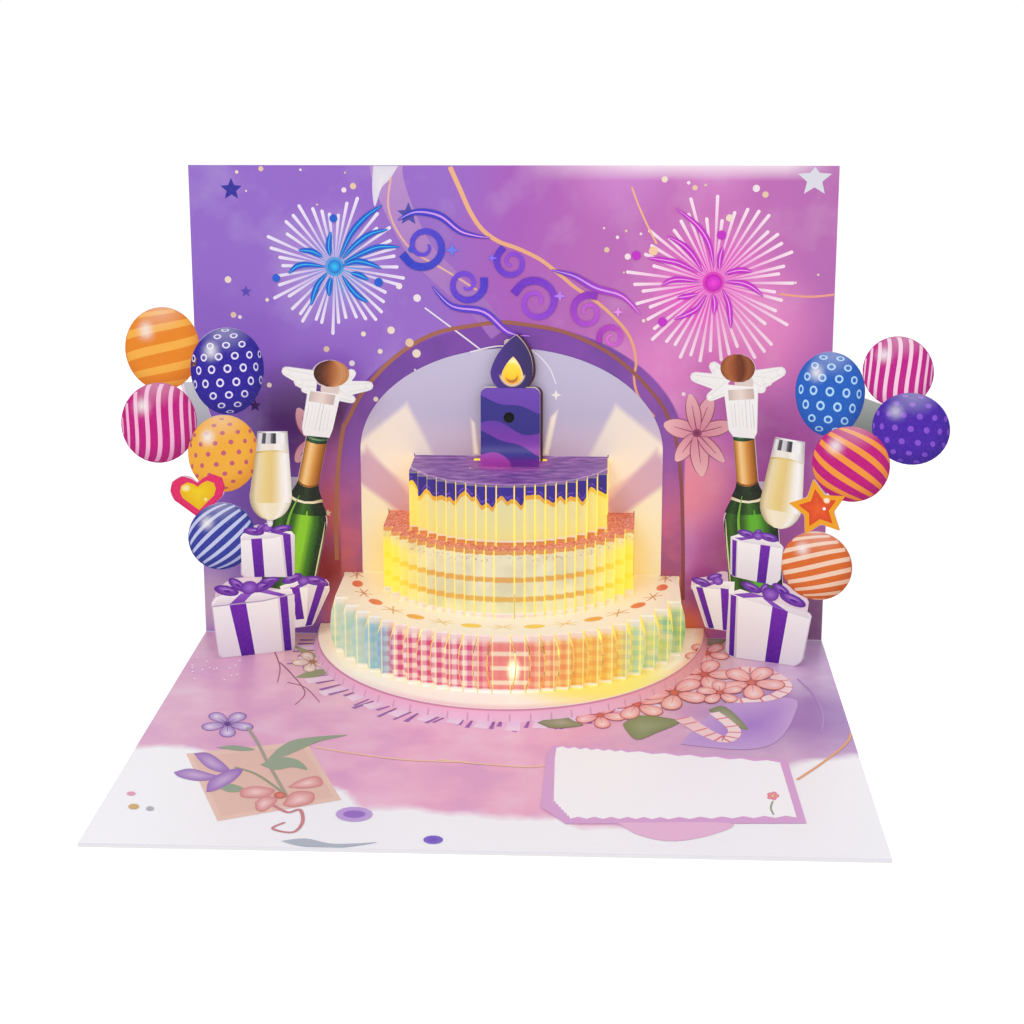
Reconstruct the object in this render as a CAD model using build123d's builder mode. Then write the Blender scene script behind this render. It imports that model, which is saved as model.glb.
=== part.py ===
"""Pop up birthday card, opened a little past a right angle.

A folded cover carries a folded inner page. On the page stand a half round cake of
three tiers, cut and folded from one sheet, a candle on the cake and two die cut
side scenes. A foam pad under the cake holds the light and sound parts.

Units are millimetres. +X is to the right, +Y to the back, +Z up. The origin is the
centre of the base panel's underside.

Places on the card are given by x, by the distance d in front of the fold along the
base, and by the height h along the back panel. Plates of the cake are parallel to
the base, and its walls to the back panel, as they are at any opening angle.
"""

import os
from math import cos, hypot, radians, sin, sqrt

from build123d import *

# Card panels
panel_width = 200.0
panel_depth = 150.0
panel_height = 150.0
opening_angle = 94.0
cover_board = 0.6
page_board = 0.5
page_fold_radius = 0.4

# Cake sheet
sheet = 0.4
crease = 0.4
inner_crease = 0.2
crease_run = 1.2
cut_width = 0.3
level_1 = 59.3
level_2 = 41.2
level_3 = 20.8
foot_level = 3.5
tier_1_radius = 35.5
tier_2_radius = 41.8
tier_3_radius = 57.3
tier_1_slats = 9
tier_2_slats = 12
tier_3_slats = 12
tier_1_slat_width = 3.1
tier_2_slat_width = 3.0
tier_3_slat_width = 4.25
tier_1_middle = 5.4
tier_2_middle = 6.1
tier_3_middle = 5.2
slat_bow = 1.7
bow_steps = 4
arch_half_width = 48.0
arch_side = 60.8
arch_rise = 33.0
glue_flap_length = 8.0

# Cake foot and the pad under it
foot_half_width = 62.0
foot_depth = 69.0
foot_skirt = 1.5
pad_clearance = 0.3
pad_back = 6.0

# Candle
candle_stand = 5.0
candle_half_width = 9.3
candle_top = 82.3
candle_corner = 2.2
candle_bend = 6.5
candle_reach = 14.7
candle_drop = 5.0
core_board = 2.0
flame_centre = (0.4, 87.3)
flame_radius = 6.6
flame_tip = (1.8, 98.8)
flame_bulge = 1.6
window_centre = (0.6, 86.8)
window_radius = 3.3
window_tip = (0.9, 92.2)
window_bulge = 0.5
window_lap = 0.6
mic_place = (-0.4, 72.9)
mic_hole_radius = 1.6
mic_radius = 2.0
mic_height = 1.4
back_shift = 0.8
candle_hole_half_width = 11.5
candle_hole_back = 1.7
candle_hole_front = 5.6
slit_width = 0.6
slit_left = (-12.3, -3.0)
slit_right = (0.8, 9.6)
tab_clearance = 0.3
tab_length = 4.0

# Candle electronics
candle_board_place = 0.0
candle_board_width = 4.8
candle_board_thickness = 0.4
candle_board_top = 89.5
channel_clearance = 0.2
flame_led_size = (2.8, 3.5, 0.8)

# Light and sound parts in the pad
pocket_clearance = 0.3
circuit_width = 26.0
circuit_depth = 16.0
circuit_thickness = 0.8
circuit_place = 19.0
chip_width = 6.0
chip_height = 0.9
chip_place = 8.0
holder_width = 42.0
holder_depth = 15.0
holder_height = 2.9
holder_place = foot_depth * 2 / 3
cell_radius = 5.8
cell_height = 2.1
cell_count = 3
cell_pitch = 13.2
cell_clearance = 0.2
contact_width = 5.0
contact_thickness = 0.2
speaker_radius = 10.0
speaker_height = 2.8
speaker_place = (foot_half_width * 0.58, foot_depth * 0.46)
speaker_rim = 1.5
cone_depth = 1.2
tongue_width = 5.0
tongue_thickness = 0.2
tongue_height = 14.0
tongue_end = 16.5
tongue_bend = 2.0
leaf_width = 3.5
leaf_foot = 24.0
leaf_foot_length = 3.0
leaf_nip = 15.0
leaf_tip = 1.5
strip_radius = 30.0
strip_width = 6.0
strip_thickness = 0.3
strip_half_angle = 78.0
strip_runs = 12
led_size = (3.5, 2.8, 1.4)
led_angles = (-72.0, -36.0, 2.0, 36.0, 72.0)

# Side scenes
scene_board = 0.45
scene_offset = 71.0
scene_stand = 17.0
scene_turn = 20.0
scene_tab = 7.0
brace_board = 0.3
brace_width = 10.0
brace_height = 52.0
brace_tab = 7.0
glass_height = 28.0
glass_rim = 9.2
glass_bulge = 13.2
glass_bowl = 7.7
glass_tilt = -4.5
bottle_radius = 8.6
bottle_body = 22.0
bottle_neck_start = 34.0
bottle_neck_radius = 3.4
bottle_height = 51.0
gift_corner = 0.8
balloon_sides = 40
tip_sides = 8
heart_place = (-24.2, 54.8)
heart_width = 16.8
heart_lobe = 4.5
heart_notch = 2.0
heart_side = (7.5, -2.7)
heart_drop = 9.4
star_place = (23.6, 50.6)
star_radius = 9.4
star_waist = 4.9
star_turn = 13.0
star_corner = 0.5
flap_left = (-20.0, 2.0)
flap_right = (-1.0, 19.0)
left_brace_along = 0.0
right_brace_along = 7.0

board = cover_board + page_board
fold_y = panel_depth / 2
lean = radians(opening_angle - 90)
up = Vector(0, sin(lean), cos(lean))
front = Vector(0, -cos(lean), sin(lean))
sheet_step = sheet / cos(lean)


def spot(d, h):
    """The y and z of the place d in front of the fold and h up along the back panel."""
    return (fold_y - d + h * sin(lean), board + h * cos(lean))


def standing_plane(d):
    """A plane parallel to the back panel, d in front of the fold; its y is the height h."""
    y, z = spot(d, 0)
    return Plane(origin=(0, y, z), x_dir=(1, 0, 0), z_dir=front)


def lying_plane(h):
    """A plane parallel to the base panel, h up; its y is minus the distance d."""
    y, z = spot(0, h)
    return Plane(origin=(0, y, z), x_dir=(1, 0, 0), z_dir=(0, 0, 1))


def folded_strip(path, radii, thickness, side, x_start, x_end):
    """A strip of sheet folded along a path in the side view, thick to one side of the path."""
    with BuildPart() as strip:
        with BuildSketch(Plane.YZ.offset(x_start)):
            with BuildLine():
                FilletPolyline(*path, radius=radii)
                offset(amount=thickness, side=side)
            make_face()
        extrude(amount=x_end - x_start)
    return strip.part


def creased_strip(path, cuts, thickness, side, x_start, x_end):
    """A strip of sheet creased along a path, each crease a short slope as long as its cut."""
    points = [Vector(*path[0])]
    for before, corner, after, cut in zip(path, path[1:], path[2:], cuts):
        here = Vector(*corner)
        points.append(here + (Vector(*before) - here).normalized() * cut)
        points.append(here + (Vector(*after) - here).normalized() * cut)
    points.append(Vector(*path[-1]))
    with BuildPart() as strip:
        with BuildSketch(Plane.YZ.offset(x_start)):
            with BuildLine():
                Polyline(*points)
                offset(amount=thickness, side=side, kind=Kind.INTERSECTION)
            make_face()
        extrude(amount=x_end - x_start)
    return strip.part


def polygon(*points):
    """A face with straight sides."""
    with BuildSketch() as face:
        with BuildLine():
            Polyline(*points, close=True)
        make_face()
    return face.sketch


def blunt_polygon(length, *points):
    """A face with straight sides and blunted corners."""
    with BuildSketch() as face:
        add(polygon(*points))
        chamfer(face.vertices(), length)
    return face.sketch


# Cover and page, glued together with their folds about one centre
def folded_panel(gap, thickness):
    """A sheet of the card's size whose outer side lies gap outside the page's upper side."""
    corner_y = fold_y + gap * (1 - sin(lean)) / cos(lean)
    top_y, top_z = spot(0, panel_height)
    path = [
        (-panel_depth / 2, board - gap),
        (corner_y, board - gap),
        (top_y + gap * cos(lean), top_z - gap * sin(lean)),
    ]
    radius = page_fold_radius + gap
    return folded_strip(path, radius, thickness, Side.LEFT, -panel_width / 2, panel_width / 2)


with BuildPart() as cover:
    add(folded_panel(board, cover_board))

with BuildPart() as inner_page:
    add(folded_panel(page_board, page_board))


# Cake sheet: three tiers of slats, their plates, the arch behind them and the foot
def slat_edges(middle, width, count):
    """The x of the cuts between slats, from left to right."""
    right = [middle / 2 + width * n for n in range(count + 1)]
    return [-x for x in reversed(right)] + right


def slat_depths(edges, radius):
    """How far each slat stands from the fold, on a half round."""
    return [sqrt(radius**2 - ((a + b) / 2) ** 2) for a, b in zip(edges, edges[1:])]


def stepped_outline(edges, depths, change, back):
    """The half round of a tier with a step at each slat, in the x and y of a lying plane."""
    points = [(edges[0], -back)]
    for left, right, depth in zip(edges, edges[1:], depths):
        points += [(left, -depth - change), (right, -depth - change)]
    return polygon(*points, (edges[-1], -back))


def slat_path(depth, top, bottom):
    """From the plate above, down the slat's front, and out on the plate below."""
    return [
        spot(depth - crease_run, top),
        spot(depth, top),
        spot(depth, bottom),
        spot(depth + crease_run, bottom),
    ]


def straight_slats(edges, depths, top, bottom):
    """The slats of one tier with straight cuts between them."""
    made = []
    for left, right, depth in zip(edges, edges[1:], depths):
        path = slat_path(depth, top, bottom)
        x_left, x_right = left + cut_width / 2, right - cut_width / 2
        made.append(creased_strip(path, slat_creases, sheet, Side.LEFT, x_left, x_right))
    return made


def bowed_slats(edges, depths, top, bottom):
    """The slats of one tier with cuts that bow away from its middle."""
    made = []
    low, high = spot(0, bottom)[1] - sheet, spot(0, top)[1]
    shares = [step / bow_steps for step in range(bow_steps + 1)]
    bow = [(4 * slat_bow * share * (1 - share), low + (high - low) * share) for share in shares]
    for left, right, depth in zip(edges, edges[1:], depths):
        path = slat_path(depth, top, bottom)
        x_left, x_right = left + cut_width / 2, right - cut_width / 2
        left_way = -1 if left < 0 else 1
        right_way = -1 if right < 0 else 1
        x_start, x_end = left - 2 * slat_bow, right + 2 * slat_bow
        outline = [(x_left + left_way * out, z) for out, z in bow]
        outline += [(x_right + right_way * out, z) for out, z in reversed(bow)]
        with BuildPart() as slat:
            add(creased_strip(path, slat_creases, sheet, Side.LEFT, x_start, x_end))
            with BuildSketch(Plane.XZ):
                add(polygon(*outline))
            extrude(amount=panel_depth, both=True, mode=Mode.INTERSECT)
        made.append(slat.part)
    return made


def back_crease(x_start, x_end, level):
    """The fold between a plate and the sheet that stands behind it."""
    path = [spot(plate_back, level), spot(sheet_step, level), spot(sheet_step, level + crease_run)]
    return creased_strip(path, (inner_crease,), sheet, Side.RIGHT, x_start, x_end)


def glue_flap(x_start, x_end, level):
    """The fold from a plate down to a flap glued to the back panel."""
    path = [spot(plate_back, level), spot(0, level), spot(0, level - glue_flap_length)]
    return creased_strip(path, (crease,), sheet, Side.RIGHT, x_start, x_end)


def half_oval(growth):
    """The foot's outline in front of the fold, grown or shrunk all round."""
    with BuildSketch() as oval:
        Ellipse(foot_half_width + growth, foot_depth + growth)
        with Locations((0, foot_depth - sheet_step)):
            Rectangle(3 * foot_half_width, 2 * foot_depth, mode=Mode.SUBTRACT)
    return oval.sketch


edges_1 = slat_edges(tier_1_middle, tier_1_slat_width, tier_1_slats)
edges_2 = slat_edges(tier_2_middle, tier_2_slat_width, tier_2_slats)
edges_3 = slat_edges(tier_3_middle, tier_3_slat_width, tier_3_slats)
depths_1 = slat_depths(edges_1, tier_1_radius)
depths_2 = slat_depths(edges_2, tier_2_radius)
depths_3 = slat_depths(edges_3, tier_3_radius)
half_1, half_2, half_3 = edges_1[-1], edges_2[-1], edges_3[-1]
slat_creases = (crease, inner_crease)
plate_back = sheet_step + crease_run
arch_start = crease_run - sheet
skirt_wall = sheet * hypot(foot_skirt, foot_level) / foot_level

folds = straight_slats(edges_1, depths_1, level_1, level_2)
folds += straight_slats(edges_2, depths_2, level_2, level_3)
folds += bowed_slats(edges_3, depths_3, level_3, foot_level)
folds.append(back_crease(-half_1, half_1, level_1))
folds.append(back_crease(half_1 + cut_width, half_2, level_2))
folds.append(back_crease(-half_2, -half_1 - cut_width, level_2))
folds.append(back_crease(half_2 + cut_width, arch_half_width, level_3))
folds.append(back_crease(-arch_half_width, -half_2 - cut_width, level_3))
folds.append(glue_flap(arch_half_width + cut_width, half_3, level_3))
folds.append(glue_flap(-half_3, -arch_half_width - cut_width, level_3))

with BuildPart() as cake_sheet:
    # Skirt that slopes from the foot's edge down to the page
    with BuildSketch(lying_plane(0)):
        add(half_oval(foot_skirt))
    with BuildSketch(lying_plane(foot_level)):
        add(half_oval(0))
    loft()
    with BuildSketch(lying_plane(0)):
        add(half_oval(foot_skirt - skirt_wall))
    with BuildSketch(lying_plane(foot_level)):
        add(half_oval(-skirt_wall))
    loft(mode=Mode.SUBTRACT)
    # Foot
    with BuildSketch(lying_plane(foot_level)):
        add(half_oval(0))
        add(stepped_outline(edges_3, depths_3, crease_run, 0), mode=Mode.SUBTRACT)
    extrude(amount=-sheet)
    # Plate of the bottom tier
    with BuildSketch(lying_plane(level_3)):
        add(stepped_outline(edges_3, depths_3, -crease_run, plate_back))
        add(stepped_outline(edges_2, depths_2, crease_run, 0), mode=Mode.SUBTRACT)
    extrude(amount=-sheet)
    # Plate of the middle tier
    with BuildSketch(lying_plane(level_2)):
        add(stepped_outline(edges_2, depths_2, -crease_run, plate_back))
        add(stepped_outline(edges_1, depths_1, crease_run, 0), mode=Mode.SUBTRACT)
    extrude(amount=-sheet)
    # Plate of the top tier, with the candle's hole and the slits for its tabs
    with BuildSketch(lying_plane(level_1)):
        add(stepped_outline(edges_1, depths_1, -crease_run, plate_back))
        with Locations((0, -(candle_hole_back + candle_hole_front) / 2)):
            hole_depth = candle_hole_front - candle_hole_back
            Rectangle(2 * candle_hole_half_width, hole_depth, mode=Mode.SUBTRACT)
        for left, right in (slit_left, slit_right):
            with Locations(((left + right) / 2, sheet_step / 2 - candle_reach)):
                Rectangle(right - left, slit_width, mode=Mode.SUBTRACT)
    extrude(amount=-sheet)
    # Arch, cut away where the tiers were folded out of it
    with BuildSketch(standing_plane(0)):
        with Locations((0, arch_side)):
            Ellipse(arch_half_width, arch_rise)
        with Locations((0, arch_side / 2)):
            Rectangle(2 * arch_half_width, arch_side)
        for half, level in ((half_1, level_1), (half_2, level_2), (arch_half_width, level_3)):
            Rectangle(2 * (half + cut_width), 2 * (level + arch_start), mode=Mode.SUBTRACT)
    extrude(amount=sheet)
    add(folds)


# Candle: a printed front card, a white core, a dark back card and the parts in the core
def drop_shape(centre, radius, tip, bulge):
    """A flame: a round bowl whose sides close to a tip."""
    x, y = centre
    tip_x, tip_y = tip
    half_y = (y + tip_y) / 2
    with BuildSketch() as drop:
        with BuildLine():
            ThreePointArc((x - radius, y), (x, y - radius), (x + radius, y))
            ThreePointArc((x + radius, y), ((x + radius + tip_x) / 2 + bulge, half_y), tip)
            ThreePointArc(tip, ((x - radius + tip_x) / 2 - bulge, half_y), (x - radius, y))
        make_face()
    return drop.sketch


def candle_outline(low):
    """The candle's body from a height up, with its flame."""
    with BuildSketch() as outline:
        with Locations((0, (low + candle_top) / 2)):
            Rectangle(2 * candle_half_width, candle_top - low)
        fillet(outline.vertices().group_by(Axis.Y)[-1], candle_corner)
        add(drop_shape(flame_centre, flame_radius, flame_tip, flame_bulge))
    return outline.sketch


candle_plane = standing_plane(candle_stand)
core_plane = candle_plane.offset(-sheet)
back_plane = core_plane.offset(-core_board)
candle_low = level_1 - candle_drop
foot_top = level_1 + sheet_step
bend_end = foot_top + candle_bend
foot_end = candle_reach - crease_run
window = drop_shape(window_centre, window_radius, window_tip, window_bulge)

with BuildPart() as candle_front:
    with BuildSketch(candle_plane):
        add(candle_outline(bend_end))
        with Locations(mic_place):
            Circle(mic_hole_radius, mode=Mode.SUBTRACT)
        add(window, mode=Mode.SUBTRACT)
    extrude(amount=-sheet)
    foot_path = [spot(candle_stand, bend_end), spot(candle_stand, foot_top), spot(foot_end, foot_top)]
    add(folded_strip(foot_path, candle_bend, sheet, Side.LEFT, -candle_half_width, candle_half_width))
    tab_path = [
        spot(foot_end, foot_top),
        spot(candle_reach, foot_top),
        spot(candle_reach, level_1 - tab_length),
    ]
    for left, right in (slit_left, slit_right):
        tab_left = max(left, -candle_half_width) + tab_clearance
        tab_right = min(right, candle_half_width) - tab_clearance
        add(folded_strip(tab_path, crease, sheet, Side.LEFT, tab_left, tab_right))

channel_width = candle_board_width + 2 * channel_clearance
channel_top = candle_board_top + channel_clearance
with BuildPart() as candle_core:
    with BuildSketch(core_plane):
        add(candle_outline(candle_low))
        with Locations((candle_board_place, (candle_low + channel_top) / 2)):
            Rectangle(channel_width, channel_top - candle_low, mode=Mode.SUBTRACT)
    extrude(amount=-core_board)
    with BuildSketch(core_plane):
        add(window)
        offset(amount=window_lap + channel_clearance)
    extrude(amount=-sheet, mode=Mode.SUBTRACT)

with BuildPart() as flame_window:
    with BuildSketch(core_plane):
        add(window)
        offset(amount=window_lap)
    extrude(amount=-sheet)

with BuildPart() as candle_back:
    with BuildSketch(back_plane):
        with Locations((back_shift, 0)):
            add(candle_outline(candle_low))
    extrude(amount=-sheet)

with BuildPart() as candle_board:
    with BuildSketch(back_plane):
        with Locations((candle_board_place, (candle_low + candle_board_top) / 2)):
            Rectangle(candle_board_width, candle_board_top - candle_low)
    extrude(amount=candle_board_thickness)

with BuildPart() as microphone:
    with BuildSketch(back_plane.offset(candle_board_thickness)):
        with Locations(mic_place):
            Circle(mic_radius)
    extrude(amount=mic_height)

with BuildPart() as flame_led:
    with BuildSketch(back_plane.offset(candle_board_thickness)):
        with Locations(window_centre):
            Rectangle(flame_led_size[0], flame_led_size[1])
    extrude(amount=flame_led_size[2])


# Foam pad under the foot, with pockets for the light and sound parts
pad_height = foot_level * cos(lean) - sheet
speaker_x, speaker_d = speaker_place

with BuildPart() as module_pad:
    with BuildSketch(lying_plane(0)):
        add(half_oval(-skirt_wall - pad_clearance))
        Rectangle(3 * foot_half_width, 2 * pad_back, mode=Mode.SUBTRACT)
        with Locations((0, -circuit_place)):
            pocket_width = circuit_width + 2 * pocket_clearance
            pocket_depth = circuit_depth + 2 * pocket_clearance
            Rectangle(pocket_width, pocket_depth, mode=Mode.SUBTRACT)
        with Locations((0, -(pad_back + circuit_place) / 2)):
            Rectangle(tongue_width + 2 * pocket_clearance, circuit_place - pad_back, mode=Mode.SUBTRACT)
        with Locations((0, -holder_place)):
            pocket_width = holder_width + 2 * pocket_clearance
            pocket_depth = holder_depth + 2 * pocket_clearance
            Rectangle(pocket_width, pocket_depth, mode=Mode.SUBTRACT)
        with Locations((speaker_x, -speaker_d)):
            Circle(speaker_radius + pocket_clearance, mode=Mode.SUBTRACT)
    extrude(amount=pad_height)

with BuildPart() as sound_board:
    with BuildSketch(lying_plane(0)):
        with Locations((0, -circuit_place)):
            Rectangle(circuit_width, circuit_depth)
    extrude(amount=circuit_thickness)
    # Chip
    with BuildSketch(lying_plane(0).offset(circuit_thickness)):
        with Locations((chip_place, -circuit_place)):
            Rectangle(chip_width, chip_width)
    extrude(amount=chip_height)

contact_length = (cell_count - 1) * cell_pitch + contact_width
cell_tray = 2 * (cell_radius + cell_clearance)
with BuildPart() as battery_holder:
    with BuildSketch(lying_plane(0)):
        with Locations((0, -holder_place)):
            Rectangle(holder_width, holder_depth)
    extrude(amount=holder_height)
    with BuildSketch(lying_plane(0).offset(holder_height)):
        with Locations((0, -holder_place)):
            with GridLocations(cell_pitch, 1, cell_count, 1):
                Rectangle(cell_tray, cell_tray)
    extrude(amount=-cell_height - contact_thickness, mode=Mode.SUBTRACT)
    with BuildSketch(lying_plane(0).offset(holder_height)):
        with Locations((0, -holder_place)):
            Rectangle(contact_length + 2 * cell_clearance, contact_width + 2 * cell_clearance)
    extrude(amount=-contact_thickness, mode=Mode.SUBTRACT)

cell_floor = holder_height - cell_height - contact_thickness
cells = []
for index in range(cell_count):
    cell_x = (index - (cell_count - 1) / 2) * cell_pitch
    with BuildPart() as cell:
        with BuildSketch(lying_plane(0).offset(cell_floor)):
            with Locations((cell_x, -holder_place)):
                Circle(cell_radius)
        extrude(amount=cell_height)
    cells.append(cell)

with BuildPart() as battery_contact:
    with BuildSketch(lying_plane(0).offset(cell_floor + cell_height)):
        with Locations((0, -holder_place)):
            Rectangle(contact_length, contact_width)
    extrude(amount=contact_thickness)

with BuildPart() as speaker:
    with BuildSketch(lying_plane(0)):
        with Locations((speaker_x, -speaker_d)):
            Circle(speaker_radius)
    extrude(amount=speaker_height)
    with BuildSketch(lying_plane(0).offset(speaker_height)):
        with Locations((speaker_x, -speaker_d)):
            Circle(speaker_radius - speaker_rim)
    extrude(amount=-cone_depth, mode=Mode.SUBTRACT)

# Pull tongue that closes the circuit when the card opens, and the contact over it
with BuildPart() as switch_tongue:
    tongue_path = [
        spot(tongue_end, circuit_thickness / cos(lean)),
        spot(0, circuit_thickness / cos(lean)),
        spot(0, tongue_height),
    ]
    tongue_half = tongue_width / 2
    tongue_radius = tongue_bend + tongue_thickness
    add(folded_strip(tongue_path, tongue_radius, tongue_thickness, Side.LEFT, -tongue_half, tongue_half))

with BuildPart() as contact_leaf:
    nip_y = fold_y - leaf_nip
    foot_y = fold_y - leaf_foot
    leaf_low = board + circuit_thickness
    leaf_high = leaf_low + tongue_thickness
    leaf_path = [
        (foot_y, leaf_low),
        (foot_y + leaf_foot_length, leaf_low),
        (foot_y + 2 * leaf_foot_length, leaf_high),
        (nip_y, leaf_high),
        (nip_y + leaf_tip, leaf_high + leaf_tip / 2),
    ]
    add(folded_strip(leaf_path, inner_crease, contact_thickness, Side.LEFT, -leaf_width / 2, leaf_width / 2))

# Light strip on the pad, inside the tiers
def strip_side(radius):
    """Places along one side of the light strip, from left to right."""
    angles = [strip_half_angle * (2 * run / strip_runs - 1) for run in range(strip_runs + 1)]
    return [(radius * sin(radians(angle)), -radius * cos(radians(angle))) for angle in angles]


strip_plane = lying_plane(0).offset(pad_height)
with BuildPart() as light_strip:
    with BuildSketch(strip_plane):
        outer = strip_side(strip_radius + strip_width / 2)
        inner = strip_side(strip_radius - strip_width / 2)
        add(polygon(*outer, *reversed(inner)))
    extrude(amount=strip_thickness)

tier_leds = []
for angle in led_angles:
    with BuildPart() as led:
        with BuildSketch(strip_plane.offset(strip_thickness)):
            with PolarLocations(strip_radius, 1, start_angle=270 + angle):
                Rectangle(led_size[1], led_size[0])
        extrude(amount=led_size[2])
    tier_leds.append(led)


# Side scenes: die cut cards that stand on the base, each held by a brace from the back panel
def scene_plane(side):
    """The printed face of a side scene; its x runs to the right and its y up."""
    turn = radians(scene_turn)
    x_dir = Vector(cos(turn), -side * sin(turn), 0)
    lift = scene_board * sin(lean)
    origin = Vector(side * scene_offset, fold_y - scene_stand, board + lift)
    return Plane(origin=origin, x_dir=x_dir, z_dir=x_dir.cross(up))


def balloon(x, y, width, height, droop):
    """A balloon: a half round top on a longer lower half, cut with short straight runs."""
    points = []
    for index in range(balloon_sides):
        angle = radians(360 * index / balloon_sides)
        reach = height / 2 if index < balloon_sides / 2 else height / 2 + droop
        points.append((x + width / 2 * cos(angle), y + reach * sin(angle)))
    return polygon(*points)


def glass(x, y):
    """A tall glass standing at a place, wider below the rim and round at the bottom."""
    with BuildSketch() as shape:
        with Locations((0, glass_bowl)):
            Ellipse(glass_bulge / 2, glass_bowl)
        add(
            polygon(
                (-glass_rim / 2, glass_height),
                (-glass_bulge / 2, glass_bowl),
                (glass_bulge / 2, glass_bowl),
                (glass_rim / 2, glass_height),
            )
        )
    return Pos(x, y) * Rot(0, 0, glass_tilt) * shape.sketch


def bottle(x, y, tilt):
    """A bottle with its foot at a place, with a straight body, a shoulder and a neck."""
    with BuildSketch() as shape:
        with BuildLine() as half:
            Line((0, 0), (bottle_radius, 0))
            Line((bottle_radius, 0), (bottle_radius, bottle_body))
            Spline(
                (bottle_radius, bottle_body),
                (bottle_neck_radius, bottle_neck_start),
                tangents=((0, 1), (0, 1)),
            )
            Line((bottle_neck_radius, bottle_neck_start), (bottle_neck_radius, bottle_height))
            Line((bottle_neck_radius, bottle_height), (0, bottle_height))
            mirror(half.line, about=Plane.YZ)
        make_face()
    return Pos(x, y) * Rot(0, 0, tilt) * shape.sketch


def lobe(start, tip, start_width, tip_width):
    """An arm of the spray: it narrows from its start to a round tip."""
    run = Vector(tip[0] - start[0], tip[1] - start[1])
    across = Vector(-run.Y, run.X).normalized()
    from_point, to_point = Vector(*start), Vector(*tip)
    corners = (
        from_point + across * start_width / 2,
        to_point + across * tip_width / 2,
        to_point - across * tip_width / 2,
        from_point - across * start_width / 2,
    )
    with BuildSketch() as shape:
        add(polygon(*corners))
        with Locations(tip):
            RegularPolygon(tip_width / 2, tip_sides)
    return shape.sketch


def heart(x, y):
    """A heart whose two round lobes rest on a pointed lower half."""
    lobe_x = heart_width / 2 - heart_lobe
    side_x, side_y = heart_side
    with BuildSketch() as shape:
        with Locations((-lobe_x, 0), (lobe_x, 0)):
            Circle(heart_lobe)
        add(polygon((-side_x, side_y), (0, -heart_drop), (side_x, side_y), (0, heart_notch)))
    return Pos(x, y) * shape.sketch


def star(x, y):
    """A star with five points."""
    points = []
    for index in range(5):
        tip_angle = radians(90 + star_turn + 72 * index)
        waist_angle = tip_angle + radians(36)
        points.append((x + star_radius * cos(tip_angle), y + star_radius * sin(tip_angle)))
        points.append((x + star_waist * cos(waist_angle), y + star_waist * sin(waist_angle)))
    return blunt_polygon(star_corner, *points)


left_balloons = (
    (-32.0, 98.9, 22.1, 24.4, 0.6),
    (-13.0, 91.4, 22.3, 24.8, 1.8),
    (-34.5, 76.2, 22.6, 24.6, 0.0),
    (-15.7, 65.4, 21.6, 23.6, 0.4),
    (-17.8, 39.3, 20.6, 21.2, 0.0),
)
left_lobes = (
    ((14.0, 85.5), (5.0, 89.3), 7.0, 3.0),
    ((14.0, 84.5), (8.8, 85.8), 5.0, 3.4),
    ((14.0, 83.0), (10.6, 83.5), 4.0, 2.8),
    ((19.0, 83.0), (25.3, 87.2), 7.0, 3.0),
    ((19.0, 82.5), (30.6, 83.0), 6.0, 3.0),
    ((19.0, 82.0), (25.0, 79.2), 5.0, 2.6),
)
left_spray = ((9.0, 71.5), (9.4, 69.0), (17.4, 67.6), (18.6, 70.2), (21.6, 81.0), (11.4, 83.0))
left_gifts = (
    ((-22.3, 18.6), (-21.0, 0.0), (3.0, 0.0), (4.0, 15.6), (3.1, 20.7), (-20.6, 20.2)),
    ((-12.2, 39.6), (-12.5, 25.6), (4.2, 23.8), (5.1, 38.6)),
    ((-1.0, 22.5), (2.0, 7.3), (9.4, 7.5), (15.4, 18.8), (15.2, 20.4)),
)
left_bows = (
    ((-21.2, 19.0), (-20.4, 22.4), (-15.6, 25.4), (-8.2, 25.4), (-0.4, 24.2), (0.5, 19.0)),
    ((-11.2, 38.0), (-10.2, 41.2), (-3.5, 42.2), (3.2, 40.8), (4.2, 38.0)),
    ((0.0, 20.0), (0.4, 24.2), (4.1, 25.6), (10.2, 23.2), (15.2, 21.8), (15.0, 18.5)),
)
left_web = ((-27.5, 88.0), (-22.0, 88.0), (-18.4, 75.6), (-24.0, 73.5))
left_cork = (18.4, 87.7, 5.6, 4.2)
left_scene = (left_balloons, left_lobes, left_spray, left_cork, left_gifts, left_bows, left_web)
left_glass = (-2.4, 43.0)
left_stem = ((-3.5, 40.9), (-1.7, 40.9), (-1.7, 43.9), (-3.5, 43.9))
left_bottle = (1.6, 20.0, -14.0)

right_balloons = (
    (44.6, 94.0, 20.8, 20.9, 0.0),
    (24.9, 86.6, 21.0, 23.6, 1.8),
    (49.5, 77.5, 22.8, 21.4, 0.0),
    (32.5, 65.2, 23.5, 22.9, 0.0),
    (24.1, 32.8, 21.9, 21.4, 0.0),
)
right_lobes = (
    ((-6.5, 86.5), (-11.2, 91.2), 6.0, 3.2),
    ((-6.5, 86.0), (-17.0, 87.5), 6.0, 3.2),
    ((-6.5, 85.5), (-11.8, 81.8), 5.0, 2.8),
    ((1.0, 87.5), (9.6, 91.2), 7.0, 3.2),
    ((1.0, 87.5), (5.6, 88.2), 7.0, 3.6),
    ((1.0, 86.5), (4.0, 85.6), 4.0, 2.8),
)
right_spray = ((-5.5, 72.0), (-4.0, 70.2), (2.5, 70.2), (3.3, 72.0), (2.9, 86.0), (-8.0, 86.0))
right_gifts = (
    ((-2.9, 21.5), (-3.1, 2.0), (-1.0, 0.0), (19.4, 0.0), (21.6, 2.0), (23.6, 17.4), (0.8, 22.7)),
    ((-3.4, 39.2), (-2.8, 26.4), (11.8, 24.8), (13.4, 27.4), (13.5, 38.0), (-1.0, 40.0)),
    ((-15.2, 21.6), (-9.6, 8.4), (-1.0, 8.4), (-1.0, 25.0)),
)
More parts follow.
